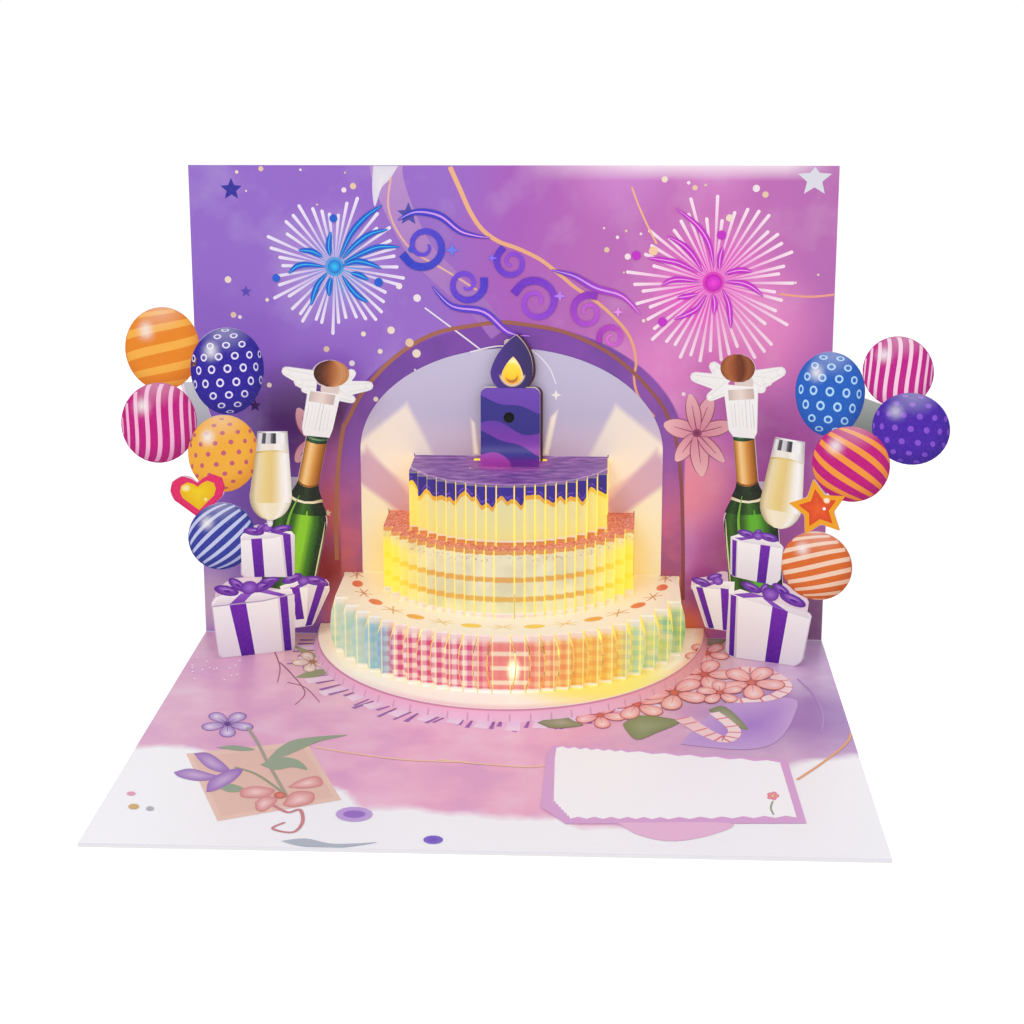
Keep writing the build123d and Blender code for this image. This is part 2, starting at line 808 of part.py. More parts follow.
right_bows = (
    ((0.6, 20.0), (0.6, 24.2), (5.2, 25.4), (14.2, 26.2), (22.4, 21.8), (22.0, 17.0)),
    ((-1.8, 38.0), (-1.6, 40.8), (0.6, 41.9), (5.8, 42.2), (11.2, 40.7), (11.9, 37.0)),
    ((-15.3, 20.0), (-15.1, 23.8), (-9.9, 25.0), (-5.5, 27.5), (-1.0, 26.6), (-1.0, 20.0)),
)
right_web = ((31.5, 77.0), (33.5, 86.0), (41.0, 84.0), (39.5, 73.5))
right_cork = (-3.6, 91.2, 5.4, 4.4)
right_scene = (
    right_balloons,
    right_lobes,
    right_spray,
    right_cork,
    right_gifts,
    right_bows,
    right_web,
)
right_glass = (11.4, 43.0)
right_bottle = (5.8, 22.0, 7.7)


def scene_outline(balloons, lobes, spray, cork, gifts, bows, web):
    """What both side scenes share: balloons, spray, cork, gifts with bows, and the web."""
    cork_x, cork_y, cork_half_width, cork_half_height = cork
    with BuildSketch() as outline:
        for place in balloons:
            add(balloon(*place))
        for arm in lobes:
            add(lobe(*arm))
        add(polygon(*spray))
        with Locations((cork_x, cork_y)):
            Ellipse(cork_half_width, cork_half_height)
        for corners in gifts:
            add(blunt_polygon(gift_corner, *corners))
        for corners in bows:
            add(blunt_polygon(gift_corner, *corners))
        add(polygon(*web))
    return outline.sketch


def foot_flap(side, x_start, x_end):
    """The flap along a scene's foot, folded back and glued to the base panel."""
    plane = scene_plane(side)
    base = Plane(origin=(plane.origin.X, plane.origin.Y, board), x_dir=plane.x_dir, z_dir=(0, 0, 1))
    with BuildPart() as flap:
        with BuildSketch(base):
            with Locations(((x_start + x_end) / 2, scene_tab / 2)):
                Rectangle(x_end - x_start, scene_tab)
        extrude(amount=scene_board)
    return flap.part


with BuildPart() as left_scenery:
    with BuildSketch(scene_plane(-1)):
        add(scene_outline(*left_scene))
        add(heart(*heart_place))
        add(glass(*left_glass))
        add(bottle(*left_bottle))
        add(polygon(*left_stem))
    extrude(amount=-scene_board)
    add(foot_flap(-1, *flap_left))

with BuildPart() as right_scenery:
    with BuildSketch(scene_plane(1)):
        add(scene_outline(*right_scene))
        add(star(*star_place))
        add(glass(*right_glass))
        add(bottle(*right_bottle))
    extrude(amount=-scene_board)
    add(foot_flap(1, *flap_right))


def brace(side, along):
    """A strip from the back panel to a scene, with a glued flap at each end."""
    printed = scene_plane(side)
    glued = printed.offset(-scene_board)
    turn = radians(scene_turn)
    centre_x = side * (scene_offset + along * cos(turn))
    centre_d = scene_stand + along * sin(turn)
    x_start, x_end = centre_x - brace_width / 2, centre_x + brace_width / 2
    path = [
        spot(centre_d + brace_width, brace_height),
        spot(0, brace_height),
        spot(0, brace_height - brace_tab),
    ]
    meeting = glued.to_local_coords(Vector(centre_x, *spot(centre_d, brace_height)))
    tab_width = brace_width / cos(turn)
    with BuildPart() as strip:
        add(folded_strip(path, crease, brace_board, Side.RIGHT, x_start, x_end))
        split(bisect_by=glued, keep=Keep.BOTTOM)
        with BuildSketch(glued):
            with Locations((meeting.X, meeting.Y - brace_tab / 2)):
                Rectangle(tab_width, brace_tab)
        extrude(amount=-brace_board)
    return strip


left_brace = brace(-1, left_brace_along)
right_brace = brace(1, right_brace_along)

pieces = {
    "cover": cover,
    "inner_page": inner_page,
    "cake_sheet": cake_sheet,
    "module_pad": module_pad,
    "sound_board": sound_board,
    "contact_leaf": contact_leaf,
    "switch_tongue": switch_tongue,
    "battery_holder": battery_holder,
    "battery_contact": battery_contact,
    "speaker": speaker,
    "light_strip": light_strip,
    "candle_front": candle_front,
    "candle_core": candle_core,
    "candle_back": candle_back,
    "flame_window": flame_window,
    "candle_board": candle_board,
    "microphone": microphone,
    "flame_led": flame_led,
    "left_scenery": left_scenery,
    "right_scenery": right_scenery,
    "left_brace": left_brace,
    "right_brace": right_brace,
}
for index, cell in enumerate(cells, start=1):
    pieces[f"battery_cell_{index}"] = cell
for index, led in enumerate(tier_leds, start=1):
    pieces[f"tier_led_{index}"] = led

os.makedirs("parts", exist_ok=True)
for name, piece in pieces.items():
    piece.part.label = name
    export_step(piece.part, f"parts/{name}.step")
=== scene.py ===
import math
import random

import bpy
from mathutils import Matrix, Vector


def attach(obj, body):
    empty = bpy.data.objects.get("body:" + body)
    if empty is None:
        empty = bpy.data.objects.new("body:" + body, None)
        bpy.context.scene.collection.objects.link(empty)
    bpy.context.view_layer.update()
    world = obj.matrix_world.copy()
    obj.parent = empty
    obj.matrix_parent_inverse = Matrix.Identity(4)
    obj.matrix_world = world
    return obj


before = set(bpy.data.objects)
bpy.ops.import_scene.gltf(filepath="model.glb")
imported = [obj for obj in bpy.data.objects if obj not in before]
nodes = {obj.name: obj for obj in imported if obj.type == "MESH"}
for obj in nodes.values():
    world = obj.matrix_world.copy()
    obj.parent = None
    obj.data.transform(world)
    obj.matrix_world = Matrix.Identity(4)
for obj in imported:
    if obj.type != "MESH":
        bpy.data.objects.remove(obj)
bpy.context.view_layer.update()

# The card, in millimetres: its lean, its fold, the board's top and the heights of the cake's plates
LEAN = math.radians(4.0)
SIN, COS = math.sin(LEAN), math.cos(LEAN)
FOLD, BOARD = 75.0, 1.1
LEVEL_1, LEVEL_2, LEVEL_3, FOOT_LEVEL = 59.3, 41.2, 20.8, 3.5
FOOT_WIDE, FOOT_DEEP = 62.0, 69.0
WING_X, WING_Y, WING_TURN = 71.0, 17.0, math.radians(20)

# Half the width of a painted edge
EDGE = 0.07

# The photograph's camera, in millimetres, and its picture, in pixels
CAMERA = Vector((28.3, -473.4, 206.8))
YAW, PITCH, ROLL = (math.radians(turn) for turn in (-2.91, 16.61, -0.22))
FOCAL, PHOTO, SENSOR = 1802.0, 1024, 36
look = Vector((math.sin(YAW) * math.cos(PITCH), math.cos(YAW) * math.cos(PITCH), -math.sin(PITCH)))
flat_right = Vector((math.cos(YAW), -math.sin(YAW), 0))
flat_up = flat_right.cross(look)
camera_right = math.cos(ROLL) * flat_right + math.sin(ROLL) * flat_up
camera_up = -math.sin(ROLL) * flat_right + math.cos(ROLL) * flat_up


def cast(px, py, origin, normal):
    """Where the sight line of a pixel of the photograph meets a plane, in millimetres."""
    ray = look + camera_right * ((px - PHOTO / 2) / FOCAL) - camera_up * ((py - PHOTO / 2) / FOCAL)
    return CAMERA + ray * ((Vector(origin) - CAMERA).dot(normal) / ray.dot(normal))


def flat_side(origin, x_dir, up):
    """The frame of a flat side: its origin, right, up and outward normal."""
    x_dir = Vector(x_dir).normalized()
    normal = x_dir.cross(Vector(up)).normalized()
    return Vector(origin), x_dir, normal.cross(x_dir), normal


def wing_side(side):
    origin = (side * WING_X, FOLD - WING_Y, BOARD + 0.45 * SIN)
    return flat_side(origin, (math.cos(WING_TURN), -side * math.sin(WING_TURN), 0), (0, SIN, COS))


BACK = flat_side((0, FOLD, BOARD), (1, 0, 0), (0, SIN, COS))
ARCH = flat_side((0, FOLD - 0.4, BOARD), (1, 0, 0), (0, SIN, COS))
BASE = flat_side((0, FOLD, BOARD), (1, 0, 0), (0, 1, 0))
FOOT = flat_side((0, FOLD + FOOT_LEVEL * SIN, BOARD + FOOT_LEVEL * COS), (1, 0, 0), (0, 1, 0))


def srgb(code):
    """A colour written as six hex digits, as linear RGBA."""
    out = []
    for n in (0, 2, 4):
        c = int(code[n : n + 2], 16) / 255
        out.append(c / 12.92 if c <= 0.04045 else ((c + 0.055) / 1.055) ** 2.4)
    return (*out, 1.0)


def mixed(a, b, share):
    a = srgb(a) if isinstance(a, str) else a
    b = srgb(b) if isinstance(b, str) else b
    return tuple(p + (q - p) * share for p, q in zip(a, b))


def ease(value):
    value = min(max(value, 0.0), 1.0)
    return value * value * (3 - 2 * value)


class Num:
    """A number that a material works out at each point."""

    def __init__(self, paint, socket):
        self.paint, self.socket = paint, socket

    def __add__(self, other):
        return self.paint.math("ADD", self, other)

    def __sub__(self, other):
        return self.paint.math("SUBTRACT", self, other)

    def __rsub__(self, other):
        return self.paint.math("SUBTRACT", other, self)

    def __mul__(self, other):
        return self.paint.math("MULTIPLY", self, other)

    def __abs__(self):
        return self.paint.math("ABSOLUTE", self)


class Paint:
    """A material painted in layers, by the place on the surface in millimetres.

    h is the height along the leaning panel, and d the distance in front of it.
    """

    def __init__(self, name, base="ffffff", rough=0.5, metal=0.0, grain=0.05):
        self.material = bpy.data.materials.new(name)
        self.material.use_nodes = True
        self.tree = self.material.node_tree
        self.shader = self.tree.nodes["Principled BSDF"]
        self.shader.inputs["Roughness"].default_value = rough
        self.shader.inputs["Metallic"].default_value = metal
        self.grain = grain
        self.colour = srgb(base)
        self.glow = None
        scaled = self.node("ShaderNodeVectorMath", operation="SCALE")
        self.tree.links.new(self.node("ShaderNodeTexCoord").outputs["Object"], scaled.inputs[0])
        scaled.inputs["Scale"].default_value = 1000
        self.place = scaled.outputs[0]
        self.x, self.y, self.z = self.split(self.place)
        self.nx, self.ny, self.nz = self.split(self.node("ShaderNodeNewGeometry").outputs["Normal"])
        self.h = (self.z - BOARD) * (1 / COS)
        self.d = self.h * SIN - self.y + FOLD

    def node(self, kind, **settings):
        made = self.tree.nodes.new(kind)
        for key, value in settings.items():
            setattr(made, key, value)
        return made

    def put(self, slot, value):
        if isinstance(value, Num):
            self.tree.links.new(value.socket, slot)
        elif isinstance(value, bpy.types.NodeSocket):
            self.tree.links.new(value, slot)
        else:
            slot.default_value = value

    def split(self, socket):
        parts = self.node("ShaderNodeSeparateXYZ")
        self.tree.links.new(socket, parts.inputs[0])
        return [Num(self, out) for out in parts.outputs]

    def join(self, a, b):
        joined = self.node("ShaderNodeCombineXYZ")
        for slot, value in zip(joined.inputs, (a, b)):
            self.put(slot, value)
        return joined.outputs[0]

    def math(self, op, *values):
        made = self.node("ShaderNodeMath", operation=op)
        for slot, value in zip(made.inputs, values):
            self.put(slot, value)
        return Num(self, made.outputs[0])

    def gather(self, op, masks):
        out = masks[0]
        for mask in masks[1:]:
            out = self.math(op, out, mask)
        return out

    def both(self, *masks):
        return self.gather("MULTIPLY", masks)

    def most(self, *masks):
        return self.gather("MAXIMUM", masks)

    def least(self, *masks):
        return self.gather("MINIMUM", masks)

    def rise(self, value, low, high, start=0.0, end=1.0, smooth=False):
        """From start to end while value goes from low to high."""
        made = self.node("ShaderNodeMapRange")
        if smooth:
            made.interpolation_type = "SMOOTHSTEP"
        for slot, item in zip(made.inputs, (value, low, high, start, end)):
            self.put(slot, item)
        return Num(self, made.outputs[0])

    def below(self, value, edge, soft=EDGE):
        return self.rise(value, edge - soft, edge + soft, 1.0, 0.0)

    def above(self, value, edge, soft=EDGE):
        return self.rise(value, edge - soft, edge + soft)

    def within(self, value, low, high, soft=EDGE):
        return self.below(abs(value - (low + high) / 2), (high - low) / 2, soft)

    def bands(self, value, pitch, share, soft):
        """Stripes: 1 on a share of each pitch."""
        off = self.math("FLOORED_MODULO", value, pitch)
        return self.within(off, pitch * (1 - share) / 2, pitch * (1 + share) / 2, soft)

    def length(self, a, b):
        made = self.node("ShaderNodeVectorMath", operation="LENGTH")
        self.tree.links.new(self.join(a, b), made.inputs[0])
        return Num(self, made.outputs["Value"])

    def polygon(self, u, v, points, soft):
        """A filled shape with straight sides and no inward corner."""
        turn = sum(a[0] * b[1] - b[0] * a[1] for a, b in zip(points, points[1:] + points[:1]))
        points = points if turn > 0 else points[::-1]
        sides = []
        for (ax, ay), (bx, by) in zip(points, points[1:] + points[:1]):
            run = math.hypot(bx - ax, by - ay)
            nu, nv = -(by - ay) / run, (bx - ax) / run
            partial = self.math("MULTIPLY_ADD", u, nu, -(ax * nu + ay * nv))
            sides.append(self.math("MULTIPLY_ADD", v, nv, partial))
        return self.above(self.least(*sides), 0.0, soft)

    def noise(self, size, detail=2.0, stretch=None, seed=0.0, at=None):
        """Soft noise from 0 to 1, about size millimetres a patch."""
        source = at or self.place
        if stretch or seed:
            moved = self.node("ShaderNodeMapping")
            self.tree.links.new(source, moved.inputs["Vector"])
            moved.inputs["Location"].default_value = (seed * 37.0, seed * 17.0, seed * 53.0)
            moved.inputs["Scale"].default_value = stretch or (1, 1, 1)
            source = moved.outputs[0]
        made = self.node("ShaderNodeTexNoise")
        self.tree.links.new(source, made.inputs["Vector"])
        made.inputs["Scale"].default_value = 1 / size
        made.inputs["Detail"].default_value = detail
        return Num(self, made.outputs["Fac"])

    def ramp(self, value, *stops):
        """A colour that runs through stops of (place, code)."""
        made = self.node("ShaderNodeValToRGB")
        self.put(made.inputs[0], value)
        band = made.color_ramp
        while len(band.elements) < len(stops):
            band.elements.new(0.5)
        for element, (place, code) in zip(band.elements, stops):
            element.position = place
            element.color = srgb(code)
        return made.outputs[0]

    def blend(self, a, b, mask):
        made = self.node("ShaderNodeMix", data_type="RGBA")
        self.put(made.inputs[0], mask)
        for slot, value in ((made.inputs[6], a), (made.inputs[7], b)):
            self.put(slot, srgb(value) if isinstance(value, str) else value)
        return made.outputs[2]

    def over(self, colour, mask=1.0):
        self.colour = self.blend(self.colour, colour, mask)

    def shine(self, colour, mask):
        """Light that the surface gives out by itself: the lamps' own light, and painted light from the lamps
        on parts that are no lamp.
        """
        self.glow = self.blend(self.glow or "000000", colour, mask)

    def done(self):
        """Links what was painted and gives the paper a faint tooth."""
        self.put(self.shader.inputs["Base Color"], self.colour)
        self.material.cycles.emission_sampling = "NONE"
        if self.glow:
            self.put(self.shader.inputs["Emission Color"], self.glow)
            self.shader.inputs["Emission Strength"].default_value = 1.0
        if self.grain:
            bump = self.node("ShaderNodeBump")
            bump.inputs["Strength"].default_value = self.grain
            bump.inputs["Distance"].default_value = 0.0002
            self.put(bump.inputs["Height"], self.noise(0.35))
            self.put(self.shader.inputs["Normal"], bump.outputs[0])
        return self.material


def dress(material, *names):
    for name in names:
        mesh = nodes[name].data
        mesh.materials.clear()
        mesh.materials.append(material)


def plain(name, tone, second, patch, share, *names, glow=None, **finish):
    """Dresses pieces in one tone, with soft patches of a second one."""
    p = Paint(name, tone, **finish)
    p.over(second, p.noise(patch) * share)
    if glow:
        p.shine(glow, 1.0)
    dress(p.done(), *names)


def smooth(points, steps):
    """Points along a smooth curve through the given ones."""
    if len(points) < 3:
        return points
    ends = [points[0]] + points + [points[-1]]
    out = []
    for a, b, c, d in zip(ends, ends[1:], ends[2:], ends[3:]):
        for n in range(steps):
            t = n / steps
            out.append(tuple(between(a[k], b[k], c[k], d[k], t) for k in (0, 1)))
    return out + [points[-1]]


def between(a, b, c, d, t):
    """A value a share t of the way from b to c, on a smooth curve through four values."""
    bend = 2 * a - 5 * b + 4 * c - d
    twist = 3 * b - a - 3 * c + d
    return 0.5 * (2 * b + (c - a) * t + bend * t * t + twist * t**3)


def turned(place, a, b):
    """The point a to the right and b up from a place, in a frame turned to the left."""
    x, y, degrees = place
    c, s = math.cos(math.radians(degrees)), math.sin(math.radians(degrees))
    return x + a * c - b * s, y + a * s + b * c


def oval(x, y, rx, ry, turn, corners):
    place = (x, y, turn)
    angles = [math.tau * n / corners for n in range(corners)]
    return [turned(place, rx * math.cos(angle), ry * math.sin(angle)) for angle in angles]


class Decals:
    """Printed shapes on a flat side, in one thin piece. Each corner has a colour.

    Every shape lies a hair above the one before it, so the last one drawn shows.
    """

    STEP = 0.0012

    def __init__(self, name, side, lift=0.03, keep=None, limits=None):
        self.name, self.side, self.lift, self.keep, self.limits = name, side, lift, keep, limits
        self.points, self.faces, self.tints = [], [], []

    def pixel(self, px, py):
        """The place on this side that a pixel of the photograph shows."""
        origin, right, up, normal = self.side
        hit = cast(px, py, origin, normal) - origin
        return hit.dot(right), hit.dot(up)

    def crop(self, window, *points):
        """Places read off an enlarged part of the photograph."""
        x, y, scale = window
        return [self.pixel(x + a / scale, y + b / scale) for a, b in points]

    def add(self, points, tints, faces):
        origin, right, up, normal = self.side
        if self.limits:
            (left, low), (far, high) = self.limits
            points = [(min(max(u, left), far), min(max(v, low), high)) for u, v in points]
        start = len(self.points)
        for face in faces:
            middle = [sum(points[n][k] for n in face) / len(face) for k in (0, 1)]
            if self.keep is None or self.keep(*middle):
                self.faces.append([start + n for n in face])
        self.points += [(origin + right * u + up * v + normal * self.lift) * 0.001 for u, v in points]
        self.tints += [srgb(t) if isinstance(t, str) else t for t in tints]
        self.lift += self.STEP

    def shape(self, points, tint):
        """A filled outline in one colour."""
        self.add(points, [tint] * len(points), [range(len(points))])

    def graded(self, points, low, high):
        """A filled outline that runs from a colour at its foot to another at its top."""
        values = [q[1] for q in points]
        bottom, height = min(values), max(values) - min(values)
        tints = [mixed(low, high, (v - bottom) / height) for v in values]
        self.add(points, tints, [range(len(points))])

    def fan(self, middle, points, inner, outer):
        """A shape that runs from one colour in the middle to another at its edge."""
        count = len(points)
        faces = [(0, 1 + n, 1 + (n + 1) % count) for n in range(count)]
        self.add([middle, *points], [inner] + [outer] * count, faces)

    def grid(self, rows):
        """Rows of (place, colour), joined to each other."""
        wide = len(rows[0])
        cells = [item for row in rows for item in row]
        corners = [n * wide + k for n in range(len(rows) - 1) for k in range(wide - 1)]
        faces = [(at, at + 1, at + wide + 1, at + wide) for at in corners]
        self.add([c[0] for c in cells], [c[1] for c in cells], faces)

    def ribbon(self, points, half, tint, end_tint, steps):
        """A smooth band through points. half gives half its width at each share of its length."""
        path = smooth(points, steps)
        last = len(path) - 1
        rows = []
        for n, (x, y) in enumerate(path):
            ax, ay = path[max(n - 1, 0)]
            bx, by = path[min(n + 1, last)]
            run = math.hypot(bx - ax, by - ay) or 1.0
            share = n / last
            sx, sy = (by - ay) / run * half(share), (bx - ax) / run * half(share)
            colour = mixed(tint, end_tint or tint, share)
            rows.append([((x - sx, y + sy), colour), ((x + sx, y - sy), colour)])
        self.grid(rows)

    def line(self, points, width, tint, tip=1.0, end_tint=None, steps=6):
        """A smooth line whose width runs to tip times itself at its end."""
        self.ribbon(points, lambda share: width * (1 + (tip - 1) * share) / 2, tint, end_tint, steps)

    def spindle(self, points, width, tint, end_tint=None):
        """A smooth line that swells in its middle and closes at both ends."""
        def half(share):
            return width * math.sin(math.pi * min(max(share, 0.03), 0.97)) ** 0.7 / 2

        self.ribbon(points, half, tint, end_tint, 6)

    def disc(self, x, y, radius, tint, ratio=1.0, outer=None, corners=16, turn=0.0):
        """A round or oval spot. ratio is its height by its width."""
        self.fan((x, y), oval(x, y, radius, radius * ratio, turn, corners), tint, outer or tint)

    def star(self, x, y, radius, tint, waist=0.45, turn=0.0, tips=5, top=math.inf, outer=None):
        ring = []
        for n in range(2 * tips):
            angle = math.radians(90 + turn) + math.pi * n / tips
            r = radius * (waist if n % 2 else 1.0)
            ring.append((x + r * math.cos(angle), min(y + r * math.sin(angle), top)))
        self.fan((x, y), ring, tint, outer or tint)

    def spot(self, window, x, y, rx, ry, tint, outer=None, corners=14):
        """An oval read off an enlarged part of the photograph."""
        middle, *edge = self.crop(window, (x, y), *oval(x, y, rx, ry, 0.0, corners))
        self.fan(middle, edge, tint, outer or tint)

    def blob(self, window, points, tint, outer=None):
        """A smooth closed outline read off an enlarged part of the photograph."""
        path = smooth(self.crop(window, *points, points[0]), 4)[:-1]
        if outer:
            middle = tuple(sum(q[k] for q in path) / len(path) for k in (0, 1))
            self.fan(middle, path, tint, outer)
        else:
            self.shape(path, tint)

    def trail(self, window, points, width, tint, tip=1.0, end_tint=None):
        """A smooth line read off an enlarged part of the photograph."""
        self.line(self.crop(window, *points), width, tint, tip, end_tint)

    def build(self, material):
        mesh = bpy.data.meshes.new(self.name)
        mesh.from_pydata([tuple(q) for q in self.points], [], self.faces)
        layer = mesh.color_attributes.new("tint", "FLOAT_COLOR", "POINT")
        for item, tint in zip(layer.data, self.tints):
            item.color = tint
        mesh.materials.append(material)
        piece = bpy.data.objects.new(self.name, mesh)
        bpy.context.scene.collection.objects.link(piece)
        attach(piece, "root")


def printed(name, rough, metal=0.0, coat=0.0):
    """The finish of printed shapes, coloured by their corners."""
    p = Paint(name, rough=rough, metal=metal, grain=0.04)
    p.colour = p.node("ShaderNodeVertexColor", layer_name="tint").outputs[0]
    p.over("ffffff", p.rise(p.noise(0.7, 3.0), 0.45, 0.75, 0.0, 0.02))
    p.shader.inputs["Specular IOR Level"].default_value = 0.25
    p.shader.inputs["Coat Weight"].default_value = coat
    return p.done()


SCENE_INK = printed("scene_ink", 0.4)
PAGE_INK = printed("page_ink", 0.35)
FOIL_INK = printed("foil_ink", 0.3, 0.55, 0.3)


# Side scenes. Places on them are in millimetres from the middle of the foot.
# A balloon's place is its x and y, width, height, and how far its lower end droops.
def spot_on(place, a, b):
    """A place on a balloon, from -1 to 1 across and up."""
    x, y, w, h, droop = place
    return x + a * w / 2, y + b * (h / 2 + (droop if b < 0 else 0))


def lit(code, a, b, dark, gleam):
    """A colour on a round balloon: darker towards its lower edge, a gleam at upper left."""
    low = ease((math.hypot(a + 0.12, b - 0.2) - 0.55) / 0.7)
    tint = mixed(code, dark, 0.62 * low * low)
    near = ease(1 - math.hypot((a + 0.42) * 1.1, b - 0.45) / 0.42)
    tint = mixed(tint, "ffffff", gleam * near * near)
    top = min(max(1 - (math.hypot(a * 0.8, b - 0.95) - 0.1) / 0.5, 0), 1)
    return mixed(tint, "ffffff", 0.22 * top)


def on_round(place, across, up):
    """From millimetres along a round balloon to -1 to 1, and whether it is on the front."""
    a = math.sin(min(max(across * 2 / place[2], -1.5), 1.5))
    b = math.sin(min(max(up * 2 / place[3], -1.5), 1.5))
    far = math.hypot(a, b)
    if far < 0.99:
        return a, b, True
    return a / far * 0.99, b / far * 0.99, False


def stripes(art, place, gleam, code, dark, pitch, share, degrees, bend=0.0):
    """Curved stripes round a balloon."""
    reach = math.hypot(*place[2:4]) * math.pi / 4
    count = int(reach / pitch) + 1
    level = art.lift
    for k in range(-count, count + 1):
        art.lift = level
        rows = []
        for n in range(41):
            t = reach * (n / 20 - 1)
            middle = k * pitch - bend * math.sin(t * 3.4 / place[3])
            sides = (middle - share * pitch / 2, middle + share * pitch / 2)
            pair = [on_round(place, *turned((0, 0, degrees), t, off)) for off in sides]
            if pair[0][2] or pair[1][2]:
                rows.append([(spot_on(place, a, b), lit(code, a, b, dark, gleam)) for a, b, seen in pair])
                continue
            if len(rows) > 1:
                art.grid(rows)
                rows = []
        if len(rows) > 1:
            art.grid(rows)


def spots(art, place, gleam, code, dark, pitch, row, radius, hole=0.0):
    """Dots or rings round a balloon, in rows that shift by half a pitch."""
    level = art.lift
    for n in range(-7, 8):
        for k in range(-7, 8):
            art.lift = level
            across, up = (k + 0.5 * (n % 2)) * pitch, n * row
            a, b, seen = on_round(place, across, up)
            if not seen or math.hypot(a, b) > 0.955:
                continue
            rings = []
            for r in (hole, radius):
                ring = [on_round(place, *q) for q in oval(across, up, r, r, 0, 12)]
                ring.append(ring[0])
                rings.append([(spot_on(place, a, b), lit(code, a, b, dark, gleam)) for a, b, seen in ring])
            art.grid(rings)


def balloon(art, place, base, dark, pattern, *settings, gleam=0.85):
    """A balloon in rings round its middle, with stripes or spots over them."""
    rows = []
    for ring in range(13):
        r = math.sin(math.pi / 2 * ring / 12)
        angles = [math.tau * n / 40 for n in range(41)]
        ends = [(r * math.cos(angle), r * math.sin(angle)) for angle in angles]
        rows.append([(spot_on(place, a, b), lit(base, a, b, dark, gleam)) for a, b in ends])
    art.grid(rows)
    pattern(art, place, gleam, *settings)


def tube(art, place, low, high, half, stops, sag=0.0, steps=4):
    """A round body between two heights along a tilted line, with colours at places across it."""
    rows = []
    for n in range(steps + 1):
        t = low + (high - low) * n / steps
        rows.append([(turned(place, side * half(t), t + sag * side * side), code) for side, code in stops])
    art.grid(rows)


def even(*codes):
    """Colours at even places from one side to the other."""
    return [(2 * n / (len(codes) - 1) - 1, code) for n, code in enumerate(codes)]


def bottle_half(t):
    return 8.55 - 5.2 * ease((t - 22) / 12)


# The bottle's bands from its foot up: low, high, sag, steps, colours across
BOTTLE_SHOULDER = (
    (24.5, 29.2, 1.0, 5,
     even("0b1a0a", "27481c", "12280f", "1f4016", "3d7020", "2a5518", "12280f", "0c1c0a", "081407")),
    (28.2, 30.2, 1.4, 2, even("c9b98e", "f4ecd0", "f4ecd0", "efe3bd", "b9a878")),
    (28.9, 34.4, 1.6, 5, even("0b130a", "1a2614", "23331b", "151f10", "0b130a")),
    (33.4, 48.2, 1.2, 3,
     even("8f5a26", "d99a4a", "f6cf8e", "f0bc74", "d9984a", "c07c30", "a5621f", "7a4413")),
    (33.4, 34.0, 1.2, 1, even("5c3208", "8e5217", "a8682a", "8e5217", "5c3208")),
    (47.4, 51.0, 0.6, 1, even("0f2410", "2c5a34", "1c4424", "16341c", "0a170b")),
    (48.4, 48.9, 0.6, 1, even("2f5233", "8aa886", "5f8a62", "2c4a2e")),
)


def champagne(art, place, bright, cream_side):
    """The bottle: green glass, a dark shoulder with a pale line, foil and a collar."""
    glass = even("14300f", "3c6a22", "1d3a12", "3a6a18", bright, bright, "3f7a1c", "1a3a10", "0c1c0a")
    tube(art, place, 0, 27.5, bottle_half, glass, 0, 10)
    for low, high, sag, steps, stops in BOTTLE_SHOULDER:
        tube(art, place, low, high, bottle_half, stops, sag, steps)
    for side, low, high, width, code in (
        (cream_side * 0.94, 1.0, 23.5, 0.5, "d8d4a0"),
        (-0.45, 4.0, 30.5, 0.9, "78b83a"),
        (0.2, 4.0, 26.0, 1.6, bright),
    ):
        heights = [low + (high - low) * n / 4 for n in range(5)]
        art.spindle([turned(place, side * bottle_half(t), t) for t in heights], width, code)


def glass_half(t):
    if t < 7.7:
        return 6.55 * math.sqrt(max(1 - ((7.7 - t) / 7.7) ** 2, 0.0))
    return 6.55 - 1.98 * (t - 7.7) / 20.3


# The glass from its foot up: low, high, sag, steps, colours across
GLASS_BANDS = (
    (0.15, 7.7, 0, 8, even("b0a27c", "f3e6c0", "fbf2d8", "f8edcc", "f6ecd0", "fdfaf0", "cfc6b0")),
    (5.5, 22.6, 0, 8,
     even("b9a878", "ecdcb4", "f0dc9e", "eed48a", "ecd088", "f0deac", "faf4e4", "ffffff", "e6dfd0")),
    (21.6, 22.2, -0.5, 1, even("b8a070", "e2c878", "e8cf8a", "e2c878", "f4ecd4", "d8d0bc")),
    (22.2, 24.6, -0.5, 1, even("c4beb6", "f1ebe0", "f4efe6", "efe8da", "fdfcf8", "f4f2ee", "cfcac4")),
    (24.2, 28.0, 0, 1,
     ((-1, "a8a4a8"), (-0.84, "e9e7ea"), (-0.7, "d8d6da"), (-0.66, "56545e"), (-0.46, "4a4852"),
      (-0.42, "dcdadd"), (-0.14, "c8c6cc"), (-0.1, "75737c"), (0.06, "3a3842"), (0.2, "3a3842"),
      (0.24, "f2f0f2"), (0.7, "fbfafa"), (1, "b5b0b0"))),
    (27.5, 28.0, 0, 1, even("8a868c", "f6f4f6", "ffffff", "b8b4b8")),
)


def tumbler(art, x, y):
    """A tall glass of pale drink with a silver rim."""
    for low, high, sag, steps, stops in GLASS_BANDS:
        tube(art, (x, y, -4.5), low, high, glass_half, stops, sag, steps)


def cork(art, place, high, width, middle, reach, stops):
    def half(t):
        return width * math.sqrt(max(1 - ((t - middle) / reach) ** 2, 0))

    tube(art, place, 0.1, high, half, stops, 0, 10)


